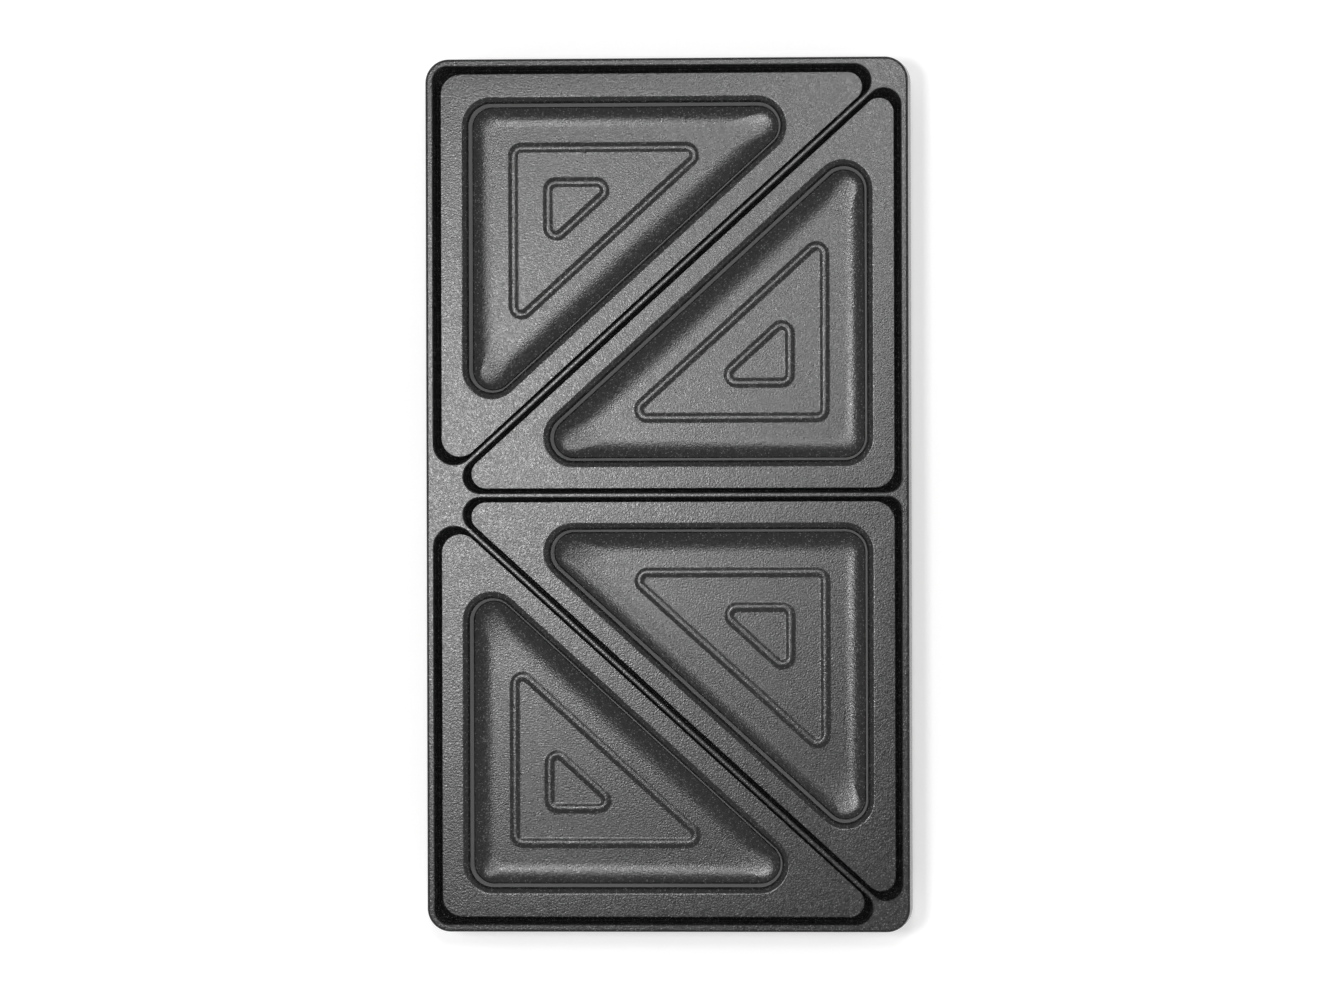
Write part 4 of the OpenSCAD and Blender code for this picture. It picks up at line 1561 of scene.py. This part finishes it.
@dataclass
class Seats:
    """Pads and screw holes under the deck, for the thermostat, the fuse and the earth screw."""

    stat_z: float = 16.5
    foot_x1: float = -22.0
    foot_x2: float = 18.0
    stack_x: float = -10.0
    pad_half: float = 6.0
    pad_margin: float = 5.5
    fuse_z: float = 15.5
    fuse_x: float = -54.0
    strap_span: Point = (-6.6, 10.65)
    strap_half: float = 5.0
    strap_screw: float = 7.8
    stat_corner: float = 1.5
    fuse_corner: float = 1.2
    pad_draft: float = 0.15
    earth_x: float = 52.0
    earth_z: float = 15.0
    earth_r: float = 5.0
    small_core: float = 1.25
    small_depth: float = 3.8
    rivet_core: float = 3.0
    rivet_depth: float = 0.9
    earth_core: float = 1.65
    earth_depth: float = 4.8

    def pads(self, plate: PlateCasting) -> list[Piece]:
        """The pads that the small parts are screwed to.

        Args:
            plate: The casting that they are part of.

        Returns:
            The solids.
        """
        stat_x = (self.foot_x1 - self.pad_margin, self.foot_x2 + self.pad_margin)
        fuse_x = (self.fuse_x + self.strap_span[0], self.fuse_x + self.strap_span[1])
        boss = Stem(self.earth_r, self.earth_z, turn=0.35, draft=self.pad_draft, blend=0.8, steps=3)
        return [
            plate.block(
                "stat_pad", stat_x, (-self.pad_half, self.pad_half), self.stat_z, self.stat_corner,
                self.pad_draft),
            plate.block(
                "fuse_pad", fuse_x, (-self.strap_half, self.strap_half), self.fuse_z, self.fuse_corner,
                self.pad_draft),
            boss.build(plate, "earth_boss", (self.earth_x, 0.0)),
        ]

    def holes(self, plate: PlateCasting) -> list[tuple[Solid, Piece]]:
        """The holes for the small screws.

        Args:
            plate: The casting that they are cut into.

        Returns:
            Their steps of the casting.
        """
        small = (self.small_core, self.small_depth)
        return [
            plate.bore(name, (x, 0.0), low, radius, depth)
            for name, x, low, (radius, depth) in (
                ("stat_hole", self.foot_x1, self.stat_z, small),
                ("stat_hole", self.foot_x2, self.stat_z, small),
                ("rivet_room", self.stack_x, self.stat_z, (self.rivet_core, self.rivet_depth)),
                ("strap_hole", self.fuse_x + self.strap_screw, self.fuse_z, small),
                ("earth_hole", self.earth_x, self.earth_z, (self.earth_core, self.earth_depth)),
            )
        ]


@dataclass(frozen=True)
class Screw:
    """A slotted screw with its head below z = 0."""

    finish: Finish
    shank_r: float = 1.2
    shank_l: float = 4.4
    head_r: float = 2.75
    head_h: float = 1.9
    slot_w: float = 0.8
    slot_d: float = 0.7
    slot_round: float = 0.05
    slot_flare: float = 0.1
    tip: Point = (0.6, 0.4)
    crown: float = 0.35
    crown_in: float = 0.28
    crown_gap: float = 0.001
    edge: float = 0.12

    def build(self, shop: Workshop, name: str, spots: Sequence[Spot]) -> Piece:
        """Makes one screw or several.

        Args:
            shop: Where it is made.
            name: The piece's name.
            spots: X, y, z and the turn in degrees of each one.

        Returns:
            One object with all of them.
        """
        head_r, low, half, (thin, taper) = self.head_r, -self.head_h, self.slot_w / 2, self.tip
        tip = [(self.shank_r * thin, self.shank_l), (self.shank_r, self.shank_l - self.shank_r * taper)]
        neck = [(self.shank_r, 0.0), (head_r - self.edge, 0.0), (head_r, -self.edge)]
        dome = [
            (head_r * (1 - self.crown_in * c), low + self.crown * (1 - s) + self.crown_gap)
            for c, s in quarter(6)
        ]
        screw = shop.turned("screw", [*tip, *neck, *dome], self.finish)
        outline = Outline.rectangle((-2 * head_r, 2 * head_r), (-half, half), self.slot_round)
        profile = [(self.slot_flare, low - 1), (0.0, low + self.slot_d)]
        slot = shop.extruded("slot", outline, profile, self.finish, 2)
        return smoothed(shop.placed(name, combined(screw, [(Solid.CUT, slot)]), spots, self.finish))


@dataclass
class Thermostat:
    """The bimetal thermostat on its foot."""

    shop: Workshop
    seats: Seats
    foot_z: float = 15.7
    beads: tuple[Point, ...] = ((13.3, 15.7), (10.3, 12.5), (8.2, 10.0), (6.1, 7.7))
    bead_r: float = 4.3
    bead_round: float = 0.35
    bead_bore: float = 1.6
    dial: Spot = (1.0, 0.0, 4.1, 40.0)
    contact_x: float = 6.2
    contact_r: float = 2.0
    contact_spans: tuple[Point, ...] = ((8.2, 9.0), (10.0, 9.2))
    contact_rise: float = 0.45
    contact_in: float = 0.75
    push_pin_x: float = 4.0
    push_pin_r: float = 1.1
    push_pin_round: float = 0.4
    push_pin_span: Point = (10.3, 12.5)

    def build(self) -> list[Made]:
        """Makes the thermostat's pieces.

        Returns:
            Each piece with its node and its finish.
        """
        spots = [(self.seats.foot_x1, 0.0, self.foot_z, 25.0), (self.seats.foot_x2, 0.0, self.foot_z, 70.0)]
        dial = Screw(BRASS, 1.5, 4.1, 2.5, 1.2)
        return [
            softened("thermostat_foot", "stat_foot", 0.2, ZINC),
            (self.bead_stack(), "thermostat_spacers", CERAMIC),
            softened("thermostat_bimetal", "bimetal_strip", 0.15, BIMETAL),
            (self.push_pin(), "thermostat_push_pin", CERAMIC),
            softened("thermostat_spring", "contact_spring", 0.08, BRONZE),
            softened("thermostat_fixed_blade", "fixed_contact_blade", 0.1, BRASS),
            (self.contacts(), "thermostat_contacts", SILVER),
            softened("thermostat_arm", "adjuster_arm", 0.2, ZINC),
            (dial.build(self.shop, "set_screw", [self.dial]), "thermostat_adjuster", BRASS),
            softened("thermostat_rivet", "stack_rivet", 0.2, ZINC),
            (Screw(ZINC).build(self.shop, "foot_screws", spots), "thermostat_screws", ZINC),
        ]

    def bead(self, name: str, radius: float, turn: float, steps: int, span: Point, x: float) -> Piece:
        """A ceramic cylinder with rounded edges.

        Args:
            name: Its name.
            radius: Its radius.
            turn: The rounding of its edges.
            steps: Steps in each rounding.
            span: Its lowest and highest point.
            x: Its axis.

        Returns:
            The solid.
        """
        profile = foot_edge(radius, span[0], turn, steps) + top_edge(radius, span[1], turn, steps)
        return self.shop.turned(name, profile, CERAMIC, (x, 0.0))

    def push_pin(self) -> Piece:
        """The pin between the bimetal and the spring, with rounded ends."""
        radius, turn = self.push_pin_r, self.push_pin_round
        return smoothed(self.bead("push_pin", radius, turn, 4, self.push_pin_span, self.push_pin_x))

    def bead_stack(self) -> Piece:
        """The ceramic spacers, with rounded edges and a bore for the rivet.

        Returns:
            One object with all of them.
        """
        beads = []
        for low, high in self.beads:
            bead = self.bead("bead", self.bead_r, self.bead_round, 3, (low, high), self.seats.stack_x)
            bore = [(self.bead_bore, low - 1), (self.bead_bore, high + 1)]
            beads.append(self.shop.bored(bead, bore, CERAMIC, (self.seats.stack_x, 0.0)))
        return smoothed(merged("spacer_beads", beads))

    def contacts(self) -> Piece:
        """The two silver buttons, each with a domed face.

        Returns:
            One object with both.
        """
        buttons = []
        for seat, face in self.contact_spans:
            rise = (face - seat) * self.contact_rise
            dome = [
                (self.contact_r * (1 - self.contact_in * c), face - rise * (1 - s))
                for c, s in quarter(5)
            ]
            profile = [(self.contact_r, seat), *dome]
            buttons.append(self.shop.turned("button", profile, SILVER, (self.contact_x, 0.0)))
        return smoothed(merged("contact_buttons", buttons))


@dataclass
class FuseGroup:
    """The thermal fuse in its braided sleeve, under its strap."""

    shop: Workshop
    seats: Seats
    axis_z: float = 12.5
    can_r: float = 2.0
    can_half: float = 5.5
    can_round: float = 0.5
    crimp: tuple[Point, ...] = ((0.0, 2.2), (0.22, 1.8), (0.0, 1.4))
    lead_r: float = 0.5
    lead_half: float = 14.5
    lead_neck: float = 0.6
    braid_r: float = 2.72
    braid_turns: float = 2.6
    strands: int = 18
    strand_r: float = 0.17
    sleeve_l: float = 24.0
    sleeve_fit: float = 0.1
    strap_t: float = 0.8

    def laid(self, piece: Piece) -> Piece:
        """Lays a form that stands on the z axis along the fuse's axis, and smooths it.

        Args:
            piece: The form, which is used up.

        Returns:
            The piece in its place.
        """
        place = Matrix.Translation((self.seats.fuse_x * MM, 0.0, self.axis_z * MM))
        piece.data.transform(place @ Matrix.Rotation(math.pi / 2, 4, "X"))
        return smoothed(piece)

    def build(self) -> list[Made]:
        """Makes the fuse's pieces.

        Returns:
            Each piece with its node and its finish.
        """
        spot = (self.seats.fuse_x + self.seats.strap_screw, 0.0, self.seats.fuse_z - self.strap_t, 15.0)
        return [
            (self.can(), "thermal_fuse", FUSE_CAN),
            (self.sleeve(), "fuse_sleeve", YARN),
            softened("fuse_strap", "sleeve_strap", 0.15, ZINC),
            (Screw(ZINC).build(self.shop, "strap_screw", [spot]), "fuse_strap_screw", ZINC),
        ]

    def can(self) -> Piece:
        """The can with its rolled ends, its crimp and its two leads.

        Returns:
            The piece in its place.
        """
        half, lead, neck = self.can_half, self.lead_r, self.lead_neck
        profile = [(lead, -self.lead_half), (lead, -half - neck), (lead * 2, -half)]
        profile += foot_edge(self.can_r, -half, self.can_round)
        profile += [(self.can_r - depth, half - back) for depth, back in self.crimp]
        profile += top_edge(self.can_r, half, self.can_round)
        profile += [(lead * 2, half), (lead, half + neck), (lead, self.lead_half)]
        return self.laid(self.shop.turned("fuse_can", profile, FUSE_CAN))

    def sleeve(self) -> Piece:
        """The woven sleeve: a cloth tube under crossing strands.

        Returns:
            The piece in its place.
        """
        half, bore = self.sleeve_l / 2, self.can_r + self.sleeve_fit
        braid = self.shop.braid.make(
            "braid", bpy.data.meshes.new("braid_seed"), YARN, Radius=self.braid_r * MM,
            Length=self.sleeve_l * MM, Turns=self.braid_turns, Strands=self.strands,
            Strand=self.strand_r * MM)
        tube = self.shop.turned("liner", [(self.braid_r, -half), (self.braid_r, half)], YARN)
        liner = self.shop.bored(tube, [(bore, -half - 1), (bore, half + 1)], YARN)
        return self.laid(merged("braided_sleeve", [liner, braid]))


@dataclass
class EarthGroup:
    """The earth tab, its toothed washer and its screw."""

    shop: Workshop
    seats: Seats
    tab_t: float = 0.8
    washer_t: float = 0.7
    washer_r: float = 3.1
    washer_bore: float = 1.65
    tooth_l: float = 1.05
    tooth_in: float = 0.4
    tooth_half: float = 0.55
    tooth_t: float = 0.28
    tooth_round: float = 0.12
    tooth_twist: float = 17.0
    teeth: int = 10

    @property
    def washer_z(self) -> float:
        """The height of the washer's lower face, where the screw's head sits."""
        return self.seats.earth_z - self.tab_t - self.washer_t

    def build(self) -> list[Made]:
        """Makes the earth pieces.

        Returns:
            Each piece with its node and its finish.
        """
        spot = (self.seats.earth_x, 0.0, self.washer_z, 55.0)
        screw = Screw(BRASS, 1.6, 6.1, 3.5, 2.6, 1.0, 1.0)
        return [
            softened("earth_tab", "earth_blade", 0.15, TINNED),
            (self.washer(), "earth_washer", ZINC),
            (screw.build(self.shop, "earth_terminal_screw", [spot]), "earth_screw", BRASS),
        ]

    def washer(self) -> Piece:
        """A lock washer with teeth that are twisted out of its plane.

        Returns:
            The washer in its place.
        """
        thin, radius = self.washer_t / 4, self.washer_r
        disc = self.shop.turned("disc", [(radius, -thin), (radius, thin)], ZINC)
        disc = self.shop.bored(disc, [(self.washer_bore, -1), (self.washer_bore, 1)], ZINC)
        outline = Outline.rectangle(
            (radius - self.tooth_in, radius - self.tooth_in / 2 + self.tooth_l),
            (-self.tooth_half, self.tooth_half), self.tooth_round)
        levels = [(0.0, -self.tooth_t / 2), (0.0, self.tooth_t / 2)]
        tooth = self.shop.extruded("tooth", outline, levels, ZINC, 2)
        tooth.data.transform(Matrix.Rotation(math.radians(self.tooth_twist), 4, "X"))
        spots = [(0.0, 0.0, 0.0, 360.0 * k / self.teeth) for k in range(self.teeth)]
        washer = merged("lock_washer", [disc, self.shop.placed("teeth", tooth, spots, ZINC)])
        middle = Vector((self.seats.earth_x, 0.0, self.washer_z + self.washer_t / 2)) * MM
        washer.data.transform(Matrix.Translation(middle))
        return smoothed(washer)


@dataclass(frozen=True)
class Lamp:
    """A soft square lamp that points at the object, in metres and watts."""

    name: str
    at: Place
    size: float
    watts: float

    def build(self) -> None:
        """Hangs the lamp."""
        light = bpy.data.lights.new(self.name, "AREA")
        light.shape = "RECTANGLE"
        light.size, light.size_y = self.size, self.size
        light.energy = self.watts
        lamp = linked(self.name, light)
        lamp.location = self.at
        lamp.rotation_euler = (-Vector(self.at)).to_track_quat("-Z", "Y").to_euler()


@dataclass
class Studio:
    """Floor, lights, world and camera, in metres and degrees."""

    lamps: tuple[Lamp, ...] = (
        Lamp("key", (-0.225, 0.029, 1.6), 0.16, 7.2),
        Lamp("side", (0.078, 0.244, 1.6), 0.16, 3.8),
        Lamp("fill", (1.5, -1.2, 0.9), 1.0, 1.5),
    )
    rim_z: float = 0.026
    camera_x: float = 0.093
    camera_above: float = 1.6
    view_width: float = 0.358
    look_at: Point = (-0.00031, -0.00121)
    roll: float = -0.16
    sensor: float = 36.0
    clip: Point = (0.05, 20.0)
    ambient: float = 0.6
    floor_half: float = 3.0
    paper: Colour = (0.86, 0.86, 0.86, 1.0)
    paper_roughness: float = 0.9
    paper_white: float = 0.25
    white: Colour = (1.0, 1.0, 1.0, 1.0)

    def build(self) -> None:
        """Sets the studio up."""
        self.floor()
        self.world()
        for lamp in self.lamps:
            lamp.build()
        self.camera()
        bpy.context.scene.view_settings.view_transform = "Standard"

    def seen(self, graph: Graph) -> Port:
        """Tells which rays show the background: the camera's, and those in gloss or through glass.

        Args:
            graph: The tree that asks.

        Returns:
            1 for such a ray, and 0 for others.
        """
        names = ("Is Camera Ray", "Is Glossy Ray", "Is Transmission Ray")
        camera, glossy, through = graph.outputs("ShaderNodeLightPath", names)
        return graph.node("ShaderNodeClamp", {}, camera + glossy + through)

    def floor(self) -> None:
        """A pale floor that the posts stand on, white where the background shows."""
        half = self.floor_half
        mesh = bpy.data.meshes.new("floor")
        corners = [(-half, -half, 0.0), (half, -half, 0.0), (half, half, 0.0), (-half, half, 0.0)]
        mesh.from_pydata(corners, [], [(0, 1, 2, 3)])
        floor = linked("floor", mesh)
        paper = bpy.data.materials.new("paper")
        paper.use_nodes = True
        surface = Surface(paper.node_tree)
        surface.set(
            Base_Color=self.paper, Roughness=self.paper_roughness, Emission_Color=self.white,
            Emission_Strength=self.seen(surface) * self.paper_white)
        mesh.materials.append(paper)

    def world(self) -> None:
        """White behind the object, and soft light round it."""
        world = bpy.data.worlds.new("studio")
        bpy.context.scene.world = world
        world.use_nodes = True
        graph = Graph(world.node_tree)
        sky = world.node_tree.nodes["Background"]
        sky.inputs["Color"].default_value = self.white
        graph.feed(sky.inputs["Strength"], self.ambient + self.seen(graph) * (1.0 - self.ambient))

    def camera(self) -> None:
        """The photograph's camera: nearly straight above, a long way off."""
        lens = bpy.data.cameras.new("camera")
        camera = linked("camera", lens)
        bpy.context.scene.camera = camera
        at = Vector((self.camera_x, 0.0, self.rim_z + self.camera_above))
        to = Vector((*self.look_at, self.rim_z))
        camera.location = at
        back = (at - to).normalized()
        right = Vector((0.0, 1.0, 0.0)).cross(back).normalized()
        aim = Matrix((right, back.cross(right), back)).transposed()
        camera.rotation_euler = (aim @ Matrix.Rotation(math.radians(self.roll), 3, "Z")).to_euler()
        lens.sensor_width = self.sensor
        lens.lens = self.sensor * (to - at).length / self.view_width
        lens.clip_start, lens.clip_end = self.clip


def hand_over(piece: Piece, node: str) -> None:
    """Puts a finished piece under the root body, and hides the CAD node that it stands for.

    Args:
        piece: The piece.
        node: The CAD node that it stands for.
    """
    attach(piece, "root")
    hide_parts(node)
    log.info("%s: %d faces for %s", piece.name, len(piece.data.polygons), node)


def main() -> None:
    """Builds the object's pieces in order, then the studio."""
    logging.basicConfig(level=logging.INFO, format="%(name)s: %(message)s")
    shop, seats = Workshop(), Seats()
    tube = HeatingTube(shop)
    groups = (Thermostat(shop, seats), FuseGroup(shop, seats), EarthGroup(shop, seats))
    made = PlateCasting(shop).build(tube, seats) + tube.build()
    for group in groups:
        made += group.build()
    for piece, node, finish in made:
        hand_over(piece, node)
    Studio().build()


if __name__ == "__main__":
    main()
